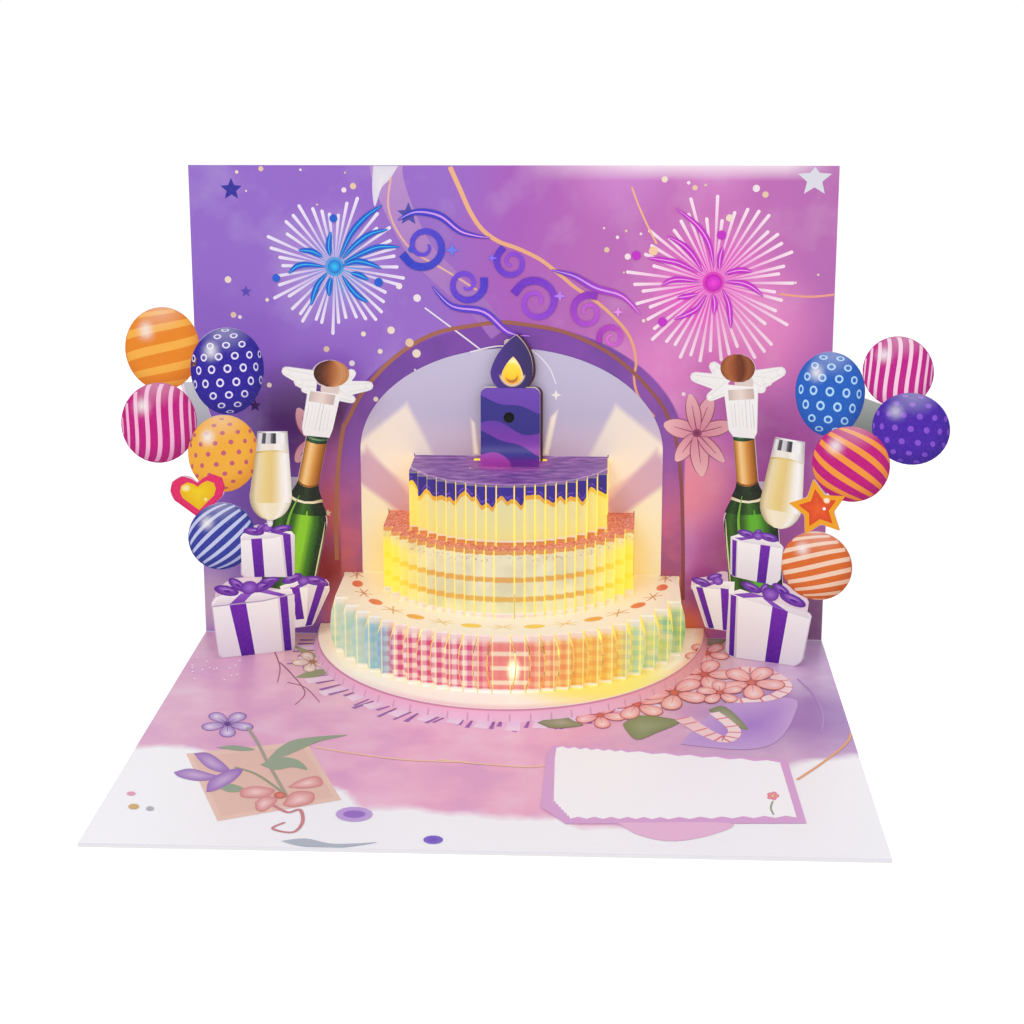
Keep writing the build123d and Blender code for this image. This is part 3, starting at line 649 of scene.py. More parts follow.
def froth(art, outline, place, streaks, low, high, seed):
    """The white spray under the cork, with pale upright streaks and a beige band."""
    art.graded(outline, "f3f1f1", "fbfaf9")
    draw = random.Random(seed)
    for across in streaks:
        a0, a1 = across + draw.uniform(-0.2, 0.2), across + draw.uniform(-0.2, 0.2)
        t0, t1 = low + draw.uniform(0.4, 1.5), high - draw.uniform(0.2, 2.4)
        width = draw.uniform(0.35, 0.75)
        tint = draw.choice(("c6c1c6", "b2adb4", "d8d2d2"))
        art.spindle([turned(place, a0, t0), turned(place, a1, t1)], width, tint)
    band = even("cdbdb8", "e6d2c8", "efdfd6", "dcc6bc", "c8b4ac")
    tube(art, place, high - 0.6, high + 2.6, lambda t: 4.0, band, 0, 1)


def splash(art, arms):
    """The wings of spray beside the cork: each arm's start, end, and width at both."""
    for (x0, y0), (x1, y1), w0, w1 in arms:
        run = math.hypot(x1 - x0, y1 - y0)
        sx, sy = -(y1 - y0) / run, (x1 - x0) / run
        corners = ((x0, y0, w0), (x0, y0, -w0), (x1, y1, -w1), (x1, y1, w1))
        art.shape([(x + sx * w / 2, y + sy * w / 2) for x, y, w in corners], "f7f6f4")
        art.disc(x1, y1, w1 / 2 * 0.98, "fbfaf8", outer="f1efee", corners=8)
        for start, end, tint in ((0.3, 0.25, "d2cdd2"), (-0.3, -0.2, "c8c3c8")):
            ends = [(x0 + sx * w0 * start, y0 + sy * w0 * start), (x1 + sx * w1 * end, y1 + sy * w1 * end)]
            art.spindle(ends, 0.4, tint)


def gift(art, front, side, lid, band, side_band, *lid_bands):
    """A gift box: its front, the side turned away, its lid, and the ribbon on each."""
    art.graded(front, "e6e0ea", "ffffff")
    art.graded(side, "cabccf", "ece4ec")
    art.graded(lid, "e4dce6", "fdfbfd")
    art.graded(band, "561498", "7626b4")
    art.graded(side_band, "481090", "7226b0")
    for lid_band in lid_bands:
        art.graded(lid_band, "7a3cb8", "9a60d0")


def bow(art, knot, *loops):
    """A bow: its knot's x, y and radius, and each loop's x, y, half width, half height and turn."""
    for x, y, rx, ry, turn in loops:
        art.disc(x, y, rx, "8f55c8", ry / rx, "5f2299", 16, turn)
        art.disc(x, y + ry * 0.25, rx * 0.66, "b48ae0", ry / rx * 0.6, "8347bd", 12, turn)
        art.disc(x + rx * 0.1, y - ry * 0.2, rx * 0.34, "4f1a86", ry / rx * 0.8, "6a2ca6", 10, turn)
    x, y, r = knot
    art.disc(x, y, r * 1.25, "a672da", 0.8, "6a2aa8", 14)


# Left half of a heart, from its tip to its notch
HALF_HEART = [(0, -9.2), (-7.3, -2.8), (-8.3, 0.2), (-7.6, 3.0), (-4.6, 4.4), (-1.9, 3.4), (0, 1.9)]
HEART = HALF_HEART + [(-a, b) for a, b in HALF_HEART[-2:0:-1]]

# Faces of the gift boxes, in the order that gift draws them
LEFT_REAR_GIFT = (
    [(-0.6, 21.5), (2.2, 7.5), (9.2, 7.6), (15.2, 18.6), (14.8, 21.0), (8.0, 23.4)],
    [(8.4, 21.4), (15.2, 19.2), (9.2, 7.6), (7.2, 7.5)],
    [(0.0, 20.6), (8.8, 20.2), (14.8, 20.6), (8.0, 23.2)],
    [(2.6, 20.8), (5.6, 20.4), (6.6, 10.0), (4.0, 10.0)],
    [(11.4, 20.9), (13.8, 20.2), (8.8, 7.7), (6.8, 7.6)],
    [(3.6, 20.6), (6.0, 20.4), (11.0, 22.4), (9.0, 23.0)],
)
LEFT_SMALL_GIFT = (
    [(-12.0, 38.6), (-12.3, 27.0), (-11.0, 25.6), (3.2, 24.1), (4.3, 25.2), (5.0, 37.4),
     (4.0, 38.9), (-11.2, 39.6)],
    [(0.4, 38.0), (5.0, 37.6), (4.3, 25.0), (3.0, 24.1), (1.4, 24.2)],
    [(-12.0, 37.4), (-2.0, 37.2), (4.6, 38.2), (0.0, 39.4), (-11.0, 39.5)],
    [(-8.8, 37.6), (-5.4, 37.5), (-5.2, 25.0), (-8.4, 25.3)],
    [(1.2, 38.2), (3.6, 38.0), (3.6, 24.2), (1.9, 24.3)],
    [(-3.6, 39.3), (-1.0, 39.4), (3.2, 38.2), (1.0, 37.9)],
)
LEFT_BIG_GIFT = (
    [(-22.1, 18.4), (-20.9, 1.4), (-19.8, 0.2), (2.4, 0.2), (3.2, 1.4), (3.9, 15.6), (3.1, 20.2),
     (-12.0, 20.6),
     (-20.6, 20.1)],
    [(-1.6, 18.2), (3.9, 18.4), (3.2, 1.2), (2.2, 0.2), (-0.8, 0.2)],
    [(-22.0, 17.2), (-6.0, 17.4), (3.6, 18.6), (2.0, 20.4), (-19.6, 20.4)],
    [(-16.8, 17.5), (-11.6, 17.6), (-9.6, 0.1), (-13.9, 0.1)],
    [(-0.9, 18.4), (1.6, 18.4), (2.1, 0.2), (-0.2, 0.2)],
    [(-8.4, 20.6), (-4.6, 20.8), (1.4, 18.6), (-0.8, 18.2)],
    [(-16.4, 17.5), (-12.0, 17.6), (-9.0, 20.4), (-13.0, 20.4)],
)
RIGHT_REAR_GIFT = (
    [(-15.0, 21.4), (-10.0, 8.9), (-9.0, 8.5), (-1.0, 8.5), (-1.2, 24.6), (-8.0, 24.0)],
    [(-15.0, 21.4), (-12.0, 21.0), (-7.6, 8.5), (-9.4, 8.5)],
    [(-14.8, 21.2), (-3.0, 21.6), (-1.2, 24.4), (-8.0, 24.0)],
    [(-5.6, 22.0), (-3.0, 22.0), (-1.8, 8.6), (-4.2, 8.6)],
    [(-13.6, 21.4), (-11.4, 21.4), (-7.0, 8.6), (-8.8, 8.6)],
    [(-12.6, 21.6), (-10.4, 21.6), (-6.0, 23.8), (-8.0, 24.0)],
)
RIGHT_SMALL_GIFT = (
    [(-3.2, 38.8), (-2.8, 27.0), (-1.6, 26.2), (11.4, 24.9), (13.2, 27.2), (13.4, 37.4),
     (11.6, 39.3), (-1.0, 39.8)],
    [(-3.2, 38.6), (-0.8, 37.6), (-0.6, 26.2), (-1.6, 26.2), (-2.8, 27.0)],
    [(-3.1, 38.2), (0.0, 37.5), (13.2, 37.0), (11.4, 39.3), (-1.0, 39.8)],
    [(6.4, 37.4), (9.5, 37.3), (8.7, 25.2), (5.8, 25.4)],
    [(-2.6, 38.0), (-1.2, 37.7), (-1.0, 26.3), (-2.1, 26.6)],
    [(-2.0, 38.6), (0.2, 38.0), (5.6, 39.4), (3.8, 39.7)],
)
RIGHT_BIG_GIFT = (
    [(-2.8, 21.0), (-3.0, 2.2), (-1.2, 0.2), (19.2, 0.2), (21.3, 2.2), (23.4, 16.6), (22.4, 17.8),
     (12.0, 19.8),
     (0.8, 22.5)],
    [(-2.8, 20.8), (0.2, 20.2), (0.6, 0.2), (-1.0, 0.2), (-3.0, 2.2)],
    [(-2.6, 20.6), (0.4, 19.8), (23.2, 15.8), (22.4, 17.8), (12.0, 19.8), (0.8, 22.4)],
    [(11.2, 18.2), (16.2, 17.3), (14.2, 0.2), (9.8, 0.2)],
    [(-2.2, 20.4), (-0.4, 20.0), (-0.2, 0.4), (-1.8, 0.8)],
    [(-1.4, 20.6), (2.0, 19.8), (9.0, 21.0), (4.0, 21.8)],
    [(11.4, 18.2), (15.8, 17.4), (11.0, 20.0), (7.6, 20.8)],
)
# Pixels of the photograph under each cork
LEFT_CORK_FOOT, RIGHT_CORK_FOOT = (330, 389), (744, 383)


def left_wing():
    art = Decals("left_scene_print", wing_side(-1))
    art.graded([(-26.5, 88), (-22, 88), (-18.6, 75.6), (-24, 73.7)], "9fa0ae", "c9c9d2")
    champagne(art, (1.6, 20.0, -14.0), "8ccf2c", 1)
    splash(art, (
        ((14.0, 85.5), (5.0, 89.3), 6.6, 2.9),
        ((14.0, 84.5), (8.8, 85.8), 4.8, 3.3),
        ((14.0, 83.0), (10.6, 83.5), 3.8, 2.7),
        ((19.0, 83.0), (25.3, 87.2), 6.6, 2.9),
        ((19.0, 82.5), (30.6, 83.0), 5.8, 2.9),
        ((19.0, 82.0), (25.0, 79.2), 4.8, 2.5),
    ))
    art.disc(*art.pixel(*LEFT_CORK_FOOT), 3.0, "e4d2ca")
    neck = [(9.0, 71.5), (9.4, 69.0), (17.4, 67.6), (18.6, 70.2), (21.6, 81.0), (11.4, 83.0)]
    froth(art, neck, (1.4, 20.4, -13.4), (-3.6, -2.5, -1.4, -0.2, 0.9, 2.0, 3.2), 50.5, 60.5, 3)
    cork_stops = even("3a1a10", "5a2a18", "8a4a28", "b8703f", "d29560", "c47f4c")
    cork(art, (18.4, 83.5, -8), 8.3, 5.6, 4.2, 4.2, cork_stops)
    balloon(art, (-32.0, 98.9, 22.1, 24.4, 0.6), "ee8a1e", "b9560a", stripes, "fcb548", "c4600c",
            6.4, 0.40, 9)
    balloon(art, (-13.0, 91.4, 22.3, 24.8, 1.8), "2c1a9e", "120c60",
            spots, "ece6ff", "4a3a9a", 5.0, 3.8, 1.25, 0.72)
    balloon(art, (-34.5, 76.2, 22.6, 24.6, 0.0), "c40a80", "8c0756",
            stripes, "fac0e0", "b04a86", 3.7, 0.36, 80, -1.3)
    balloon(art, (-15.7, 65.4, 21.6, 23.6, 0.4), "f7b53c", "d87c1c", spots, "c8607a", "a04028", 4.9, 3.3, 0.8)
    art.shape([(-24.2 + a, 54.8 + b) for a, b in HEART], "dc1c5e")
    art.shape([(-24.2 + a * 0.96, 55.0 + b * 0.93) for a, b in HEART], "e62c6c")
    art.fan((-24.2, 54.0), [(-24.2 + a * 0.66, 54.3 + b * 0.66) for a, b in HEART], "f8d820", "eebc10")
    art.disc(-27.8, 55.4, 1.5, "fffbd0", 0.8, "f6d83a")
    art.disc(-22.0, 51.4, 0.5, "fff4a0")
    balloon(art, (-17.8, 39.3, 20.6, 21.2, 0.0), "3440a2", "161f66",
            stripes, "c8d2f6", "6a74b4", 3.2, 0.38, 34, -0.5)
    tumbler(art, -2.4, 43.0)
    gift(art, *LEFT_REAR_GIFT)
    bow(art, (7.0, 22.4, 1.5), (3.4, 23.6, 3.4, 1.5, 14), (10.6, 22.2, 3.8, 1.5, -14),
        (13.2, 21.2, 2.0, 0.9, -30))
    gift(art, *LEFT_SMALL_GIFT)
    bow(art, (-3.6, 40.6, 1.3), (-7.8, 39.9, 3.3, 1.3, -12), (0.8, 39.9, 3.4, 1.2, 6),
        (-5.6, 41.0, 1.8, 0.9, 40))
    art.disc(-2.6, 42.0, 0.9, "ffffff", 1.2, "d8d2da")
    gift(art, *LEFT_BIG_GIFT)
    art.shape([(-21.9, 17.3), (-6.0, 17.5), (3.6, 18.7), (3.6, 18.4), (-6.0, 17.1), (-21.9, 16.9)], "b8a6c4")
    bow(art, (-10.2, 22.0, 2.2), (-17.4, 21.8, 4.0, 1.6, -18), (-14.0, 23.4, 3.2, 1.5, -40),
        (-5.4, 22.4, 4.2, 1.7, 22), (-3.6, 23.7, 3.2, 1.1, 4))
    art.build(SCENE_INK)


def right_wing():
    art = Decals("right_scene_print", wing_side(1))
    art.graded([(31.7, 77.0), (33.6, 85.8), (41.0, 83.8), (39.4, 73.7)], "6d7370", "a4aaa8")
    champagne(art, (5.8, 22.0, 7.7), "62b430", -1)
    splash(art, (
        ((-6.5, 86.5), (-11.2, 91.2), 5.8, 3.1),
        ((-6.5, 86.0), (-17.0, 87.5), 5.8, 3.1),
        ((-6.5, 85.5), (-11.8, 81.8), 4.8, 2.7),
        ((1.0, 87.5), (9.6, 91.2), 6.8, 3.1),
        ((1.0, 87.5), (5.6, 88.2), 6.8, 3.5),
        ((1.0, 86.5), (4.0, 85.6), 3.8, 2.7),
    ))
    art.disc(*art.pixel(*RIGHT_CORK_FOOT), 3.0, "e4d2ca")
    neck = [(-5.5, 72.0), (-4.0, 70.2), (2.5, 70.2), (3.3, 72.0), (2.9, 86.0), (-8.0, 86.0)]
    froth(art, neck, (6.6, 22.4, 8.2), (-3.4, -2.3, -1.2, 0.0, 1.1, 2.2, 3.2), 50.5, 60.6, 5)
    cork_stops = even("8a4a28", "b2683a", "a05530", "7c3a1e", "6a2e16", "9a5632", "7c4020")
    cork(art, (-3.4, 87.0, 4), 8.6, 5.4, 4.3, 4.4, cork_stops)
    balloon(art, (44.6, 94.0, 20.8, 20.9, 0.0), "c4188c", "8c1664",
            stripes, "fcd6ea", "b45a94", 3.2, 0.38, 96, 1.2)
    balloon(art, (24.9, 86.6, 21.0, 23.6, 1.8), "1e62c4", "10348c",
            spots, "b4e0ff", "3a6cb0", 5.2, 4.0, 1.35, 0.75)
    balloon(art, (49.5, 77.5, 22.8, 21.4, 0.0), "4a1cac", "280c78",
            spots, "8a52d6", "4a2294", 4.8, 4.0, 0.95, gleam=0.55)
    tumbler(art, 11.4, 43.0)
    balloon(art, (32.5, 65.2, 23.5, 22.9, 0.0), "c80e80", "900c56",
            stripes, "fb9e3e", "c4602a", 5.0, 0.40, -30)
    art.star(23.6, 50.6, 9.2, "fab42a", 4.8 / 9.2, 13, outer="f6a81e")
    art.star(23.6, 50.6, 6.2, "f4662a", 3.2 / 6.2, 13, outer="e04a22")
    art.disc(26.0, 53.4, 1.0, "ffffff", 0.9, "ffd8a0")
    art.disc(25.4, 50.8, 0.5, "ffffff")
    balloon(art, (24.1, 32.8, 21.9, 21.4, 0.0), "e4722e", "a8400f",
            stripes, "fbdcc2", "cc8a66", 3.5, 0.42, 12, -0.9)
    gift(art, *RIGHT_REAR_GIFT)
    bow(art, (-6.6, 24.2, 1.4), (-12.0, 23.2, 3.2, 1.2, -10), (-7.8, 25.3, 2.6, 1.1, 20))
    gift(art, *RIGHT_SMALL_GIFT)
    bow(art, (5.4, 40.0, 1.3), (1.8, 40.3, 2.9, 1.2, -8), (8.8, 40.0, 3.2, 1.3, -10),
        (5.2, 41.0, 1.5, 0.9, 40))
    gift(art, *RIGHT_BIG_GIFT)
    bow(art, (10.4, 22.0, 2.1), (4.2, 23.5, 3.4, 1.4, -18), (13.6, 23.9, 3.2, 1.5, -28),
        (17.4, 21.2, 4.4, 1.7, -18), (8.4, 23.8, 1.8, 1.1, 50))
    art.build(SCENE_INK)


def wing_card():
    p = Paint("scene_card", "f4eef2", rough=0.5)
    p.over(p.ramp(p.noise(9.0), (0.35, "d9b9cf"), (0.65, "f0dde8")), p.below(p.ny, -0.5, 0.1))
    dress(p.done(), "left_scenery", "right_scenery")


# Candle
CANDLE_HALF = 9.6
CANDLE_WAVES = ((79.2, 74.6, 71.8, 67.4, "2a1f86"), (68.2, 61.6, 62.0, 58.0, "2b1d88"))


def candle():
    candle_front()
    flame_film()
    core = Paint("candle_core_board", "fdf8ec", rough=0.7, grain=0.15)
    core.over("efe2c6", core.noise(6.0) * 0.4)
    # painted light from the lamps below, on the core's lower part
    core.shine("6e5a22", core.rise(core.h, 66.0, 58.0, 0.0, 0.8))
    dress(core.done(), "candle_core")
    # The back card's dark maroon is its print darkened with painted shade, where it shows behind the candle's
    # front
    plain("candle_back_print_and_shade", "3a0c22", "5c1a34", 9.0, 0.5, "candle_back")


def candle_front():
    """Waves on the candle, a dark flame round the window, and the microphone's hole."""
    p = Paint("candle_print", "5b2c9c", rough=0.35)
    fade = p.rise(p.h, LEVEL_1 - 0.3, 83.0)
    p.over(p.ramp(fade, (0.0, "b440aa"), (0.2, "8a38b0"), (0.5, "6a34ae"), (1.0, "6f44b8")))
    wave = p.math("SINE", p.x * 0.42) * 0.8
    for left_top, right_top, left_low, right_low, tone in CANDLE_WAVES:
        top = p.rise(p.x, -CANDLE_HALF, CANDLE_HALF, left_top, right_top, smooth=True) + wave
        low = p.rise(p.x, -CANDLE_HALF, CANDLE_HALF, left_low, right_low, smooth=True) - wave
        p.over(tone, p.both(p.above(p.h - low, 0.0, 0.15), p.below(p.h - top, 0.0, 0.12)))
    p.over("b03c9c", p.rise(p.h, 61.2, 58.6, 0.0, 0.6))
    flame = p.above(p.h, 82.2)
    dark = p.ramp(p.rise(p.x, -6.6, 7.4), (0.0, "4a2492"), (0.5, "341a70"), (1.0, "241050"))
    p.over(dark, p.both(flame, p.below(p.length(p.x - 0.4, p.h - 89), 13.0, 0.1)))
    rim = p.length(p.x - 0.6, (p.h - 87.6) * 0.86)
    p.over("efd2a4", p.both(flame, p.within(rim, 3.2, 4.2, 0.2), p.below(p.h, 86.2, 0.5)))
    p.over("e9c9a6", p.above(p.nz, 0.5, 0.1) * p.above(p.h, 80.0))
    p.over("efece6", p.above(p.ny, 0.5, 0.1))
    p.over("cdbfe0", p.above(abs(p.nx), 0.6, 0.1) * 0.5)
    p.over("120a1c", p.below(p.length(p.x + 0.4, p.h - 72.9), 1.75, 0.1))
    dress(p.done(), "candle_front")


def flame_film():
    """The window of the flame, lit by painted light from the flame lamp behind it, with a painted shadow
    curve at its foot.
    """
    p = Paint("flame_film", "ffc814", rough=0.2, grain=0.0)
    p.colour = p.ramp(p.rise(p.h, 83.4, 92.3), (0.0, "f0940c"), (0.3, "ffc21a"), (1.0, "ffe95a"))
    p.over("fff6b8", p.above(p.length(p.x - 0.5, (p.h - 86.4) * 0.8), 3.0, 0.3))
    inner = p.below(p.length(p.x - 0.5, p.h - 85.6), 1.9, 0.15)
    # painted shadow: a dark curve at the window's foot
    p.over("5c2a1c", p.both(inner, p.above(p.length(p.x - 0.3, p.h - 86.6), 1.9, 0.15)))
    # painted light: the flame lamp shining through the film
    p.shine("d09008", 0.55)
    dress(p.done(), "flame_window")


# Cake: middle slat and slat widths of the three tiers
TIERS = ((5.4, 3.1), (6.1, 3.0), (5.2, 4.25))
# The ring of ovals and twigs on the lowest plate
RING_RADIUS, RING_PITCH = 49.6, 18.8
# Bands of painted light on the arch, with a band of painted shade between the two bright ones, mirrored at
# the middle: across and up, colour, strength
ARCH_LIGHT_AND_SHADE = (
    ([(22.0, 54.0), (33.0, 76.0), (50.0, 62.0), (27.0, 46.0)], "fff0de", 0.95),
    # painted shade: the middle plate's shadow between the two bands of light
    ([(30.0, 44.0), (46.0, 62.0), (53.0, 48.0), (34.0, 38.0)], "d4a4bc", 0.75),
    ([(32.0, 38.0), (48.0, 50.0), (54.0, 12.0), (34.0, 14.0)], "fff4d6", 1.0),
)
# Slits of light beside the candle
RIGHT_SLIT = [(10.2, 60.0), (11.8, 60.0), (14.6, 74.0), (12.6, 72.0)]
LEFT_SLIT = [(-11.8, 60.0), (-10.4, 60.0), (-11.6, 70.0), (-12.6, 71.0)]
TIER_PAPER = (
    (0.00, "d6ecd8"), (0.10, "a8dcd8"), (0.18, "9cc8e8"), (0.22, "fbe2e2"), (0.42, "fbe0da"),
    (0.47, "f4a28e"),
    (0.56, "f7b49c"), (0.63, "fbd49c"), (0.70, "f8cc6c"), (0.79, "fadc80"), (0.83, "e8ee90"),
    (0.93, "d8ea90"),
    (1.00, "98cc64"),
)
TIER_CHECKS = (
    (0.00, "b0e0c8"), (0.17, "7ab8e0"), (0.22, "d43c84"), (0.42, "dc4a80"), (0.48, "ea7078"),
    (0.62, "ee8468"),
    (0.70, "f0a850"), (0.80, "f2bc58"), (0.84, "98d4cc"), (1.00, "84c070"),
)


def slat_edges(p, tier):
    """Distance to the nearest cut between slats of a tier."""
    middle, width = TIERS[tier]
    out = abs(p.x) - middle / 2
    return p.math("PINGPONG", p.math("MAXIMUM", out, -width / 2 + 0.01) + 40 * width, width / 2)


def foot_reach(p):
    """How far out a place lies on the foot, 1 at its rim."""
    return p.length(p.x * (1 / FOOT_WIDE), p.d * (1 / FOOT_DEEP))


def round_foot(p):
    """How far round the foot a place lies, in millimetres from its front."""
    return p.math("ARCTAN2", p.x, p.d) * 49.5


def arch_paper(p, arch):
    """Lilac paper behind the cake, with painted bands of peach light and shade, and painted yellow light low
    down. Gives back the slits of light.
    """
    across = abs(p.x)
    p.over(p.ramp(p.rise(p.h, 96.0, 50.0), (0.0, "cfc8e2"), (0.5, "c9bed8"), (1.0, "f4d0d0")), arch)
    for points, code, amount in ARCH_LIGHT_AND_SHADE:
        p.over(code, p.both(arch, p.polygon(across, p.h, points, 0.9), amount))
    # painted shade on the arch paper behind the candle's foot, just above the top plate
    p.over("a98fae", p.both(arch, p.rise(across, 26.0, 6.0), p.rise(p.h, 66.0, 58.0), 0.6))
    slit = p.both(arch, p.most(p.polygon(p.x, p.h, RIGHT_SLIT, 0.5), p.polygon(p.x, p.h, LEFT_SLIT, 0.5)))
    p.over("fff2e0", slit)
    # painted yellow light from the lamps, low on the arch paper
    p.over("ffdf70", p.both(arch, p.rise(across, 50.0, 32.0, 0.0, 0.9), p.rise(p.h, 42.0, 30.0)))
    return slit


def upper_plates(p, flat):
    """Violet icing on the top plate and crumbs on the middle one."""
    top = p.both(flat, p.above(p.h, LEVEL_1 - 1.8))
    streak = p.noise(3.2, 3.0, stretch=(0.6, 1.4, 1.0))
    p.over(p.ramp(streak, (0.28, "5a2a86"), (0.46, "84519f"), (0.62, "a06cb4"), (0.78, "c8a2d0")), top)
    p.over("d9b9dc", p.both(top, p.within(p.length(p.x, p.d) + streak * 3.0, 34.6, 35.4, 0.3), 0.8))
    p.over("c54fb0", p.both(top, p.below(p.length((p.x + 0.4) * 0.8, p.d - 9.0), 9.0, 3.0), 0.55))
    crumbs = p.ramp(p.noise(0.8, 3.0), (0.3, "b8502e"), (0.45, "e0765a"), (0.6, "f4a08c"), (0.75, "ffd2c4"))
    p.over(crumbs, p.both(flat, p.within(p.h, LEVEL_2 - 1.7, LEVEL_2 + 1.8)))


def low_plate(p, shelf):
    """Cream paper with a ring of ovals and crossed twigs, lit at the middle."""
    p.over("fdf2de", shelf)
    out = p.length(p.x, p.d) - RING_RADIUS
    turn = round_foot(p) + 50 * RING_PITCH
    side_red = p.rise(abs(p.x), 14.0, 44.0)
    mid = p.math("FLOORED_MODULO", turn, RING_PITCH) - RING_PITCH / 2
    bead = p.below(p.length(mid * (1 / 3.2), out * (1 / 1.7)), 1.0, 0.06)
    p.over(p.blend("f8cf4e", "e2563c", side_red), p.both(shelf, bead))
    mid = p.math("FLOORED_MODULO", turn + RING_PITCH / 2, RING_PITCH) - RING_PITCH / 2
    twig = p.least(abs(abs(mid) - abs(out) * 1.2), abs(out) + abs(mid) * 0.05)
    star = p.both(shelf, p.below(twig, 0.34, 0.15), p.below(p.length(mid * 0.55, out), 2.6, 0.2))
    p.over(p.blend("f0cc72", "c8724a", side_red), star)
    p.over("ffe58a", p.both(shelf, p.rise(p.d, 30.0, 4.0), p.rise(abs(p.x), 30.0, 52.0, 0.8, 0.0)))


def foot_paper(p, foot):
    """Cream paper round the cake, with a pink to peach rim and a patch of yellow light."""
    tones = ((0.0, "faf2ec"), (0.35, "f4cdd6"), (0.6, "f6d6d2"), (0.85, "fdeed4"), (1.0, "f8c8a8"))
    p.over(p.ramp(p.rise(p.x, -58.0, 58.0), *tones), foot)
    p.over("fffaf2", p.both(foot, p.rise(foot_reach(p), 0.995, 0.95)))
    patch = p.rise(p.length(p.x - 26.0, p.d - 42.0), 30.0, 14.0, 0.0, 0.9, smooth=True)
    p.over("fff06a", p.both(foot, patch))


def top_wall(p, wall, fine):
    """Cream under dripping icing. Gives back what hangs below the icing's edge."""
    icing = p.noise(4.4, 1.0, at=p.join(p.x, 3.0)) * 13.0 - 2.4
    below_icing = LEVEL_1 - p.h - icing
    p.over(p.ramp(p.rise(p.h, 43.0, 58.0), (0.0, "f2eca0"), (1.0, "e6deaa")), wall)
    p.over("ecae38", p.both(wall, p.below(below_icing - 1.35, 0.0, 0.15)))
    p.over("2e1490", p.both(wall, p.below(below_icing, 0.0, 0.1)))
    p.over("7a52d8", p.both(wall, p.within(below_icing, -1.3, -0.8, 0.15), p.above(fine, 0.5, 0.05), 0.8))
    return below_icing


def middle_wall(p, wall, cream, fine):
    """Cream with two layers of biscuit and crumbs at the top."""
    p.over(p.ramp(cream, (0.35, "dfd8b4"), (0.6, "f2ecc8")), wall)
    for low in (26.0, 32.0):
        p.over("e4a644", p.both(wall, p.within(p.h + fine * 0.6, low, low + 1.6, 0.2), 0.9))
    p.over("d9785a", p.both(wall, p.above(p.h - fine * 1.2, LEVEL_2 - 1.6, 0.15)))
    p.over("a2628e", p.both(wall, p.within(p.h, 38.0, 39.4, 0.3), p.within(fine, 0.56, 0.60, 0.01), 0.8))


def bottom_wall(p, wall, cream, fine):
    """Washes of colour from left to right under checks of the same colours."""
    along = p.rise(p.x, -57.0, 57.0)
    paper, ink = p.ramp(along, *TIER_PAPER), p.ramp(along, *TIER_CHECKS)
    rows = p.bands(p.h + fine * 0.4, 3.1, 0.5, 0.2)
    columns = p.bands(p.x + 200.0, 3.05, 0.5, 0.2)
    p.over(paper, wall)
    p.over(ink, p.both(wall, rows, 0.6))
    p.over(ink, p.both(wall, columns, 0.55))
    p.over(ink, p.both(wall, rows, columns, 0.8))
    middle = p.both(wall, p.below(abs(p.x - 2.5), 5.6, 0.5))
    p.over("f08c84", p.both(middle, 0.7))
    p.over("fdf0d0", p.both(middle, p.bands(p.h, 4.4, 0.3, 0.2), 0.8))
    pale = p.blend("fff4ea", paper, p.rise(cream, 0.4, 0.6))
    p.over(pale, p.both(wall, p.rise(abs(p.x), 36.0, 42.0, 0.0, 0.6), p.above(cream, 0.42, 0.1)))
    p.over("fdf3ea", p.both(wall, p.above(p.h, LEVEL_3 - 1.9, 0.6), 0.7))


def skirt(p):
    """The foot's edge: mauve above and pink below, with a dark crease at intervals."""
    edge = p.both(p.below(p.nz, 0.6, 0.1), p.below(p.h, 3.3, 0.1), p.above(foot_reach(p), 0.975, 0.004))
    tones = ((0.0, "ecbcd6"), (0.5, "f0b4d2"), (0.78, "f0aecb"), (0.86, "cc7c9c"), (1.0, "d48aa6"))
    p.over(p.ramp(p.rise(p.h, 0.0, 3.4), *tones), edge)
    creases = p.bands(round_foot(p) * 1.3, 5.6, 0.08, 0.12)
    p.over("a04a7c", p.both(edge, creases, p.below(p.h, 2.0, 0.3), 0.4))
    p.over("ee9c68", p.both(edge, p.rise(p.x, 26.0, 54.0, 0.0, 0.5)))


def lamp_light(p, out, walls, below_icing):
    """Light from the lamps inside: bright cuts, and walls that glow towards the sides."""
    across = abs(p.x)
    inside = p.both(p.above(p.ny, 0.3, 0.1), out)
    p.over("fff0a0", inside)
    lines = p.most(*[
        p.both(wall, p.rise(slat_edges(p, tier), 0.05, 0.3, bright, 0.0))
        for tier, (wall, bright) in enumerate(zip(walls, (0.6, 0.75, 0.6)))
    ])
    p.over("fff3a0", lines)
    glow_1 = p.both(walls[0], p.rise(across, 22.0, 33.0, 0.0, 0.75), p.above(below_icing, 0.0, 0.1))
    glow_2 = p.both(walls[1], p.rise(across, 22.0, 36.0, 0.0, 0.85), p.rise(p.h, 41.0, 36.0))
    above_plate = p.math("FLOORED_MODULO", p.h - 2.0, 19.0)
    low_glow = p.both(p.most(*walls[:2]), p.rise(above_plate, 9.0, 0.0, 0.0, 0.2))
    p.over("fff03a", p.most(glow_1, glow_2, low_glow))
    edges = p.both(p.above(abs(p.nx), 0.5, 0.1), p.above(p.d, 2.0), p.above(p.h, 4.0))
    p.over("fff08c", edges)
    far = p.length((p.x - 3.6) * 1.6, (p.h - 10.4) * 0.8)
    bulb = p.both(walls[2], p.rise(far, 0.0, 4.2, 1.0, 0.0, smooth=True))
    p.over("fffbe0", bulb)
    p.shine("c8b030", p.most(inside, edges, lines * 0.6) * 0.8)
    p.shine("a08820", p.most(glow_1, glow_2) * 0.5)
    p.shine("e8d890", bulb * 0.9)


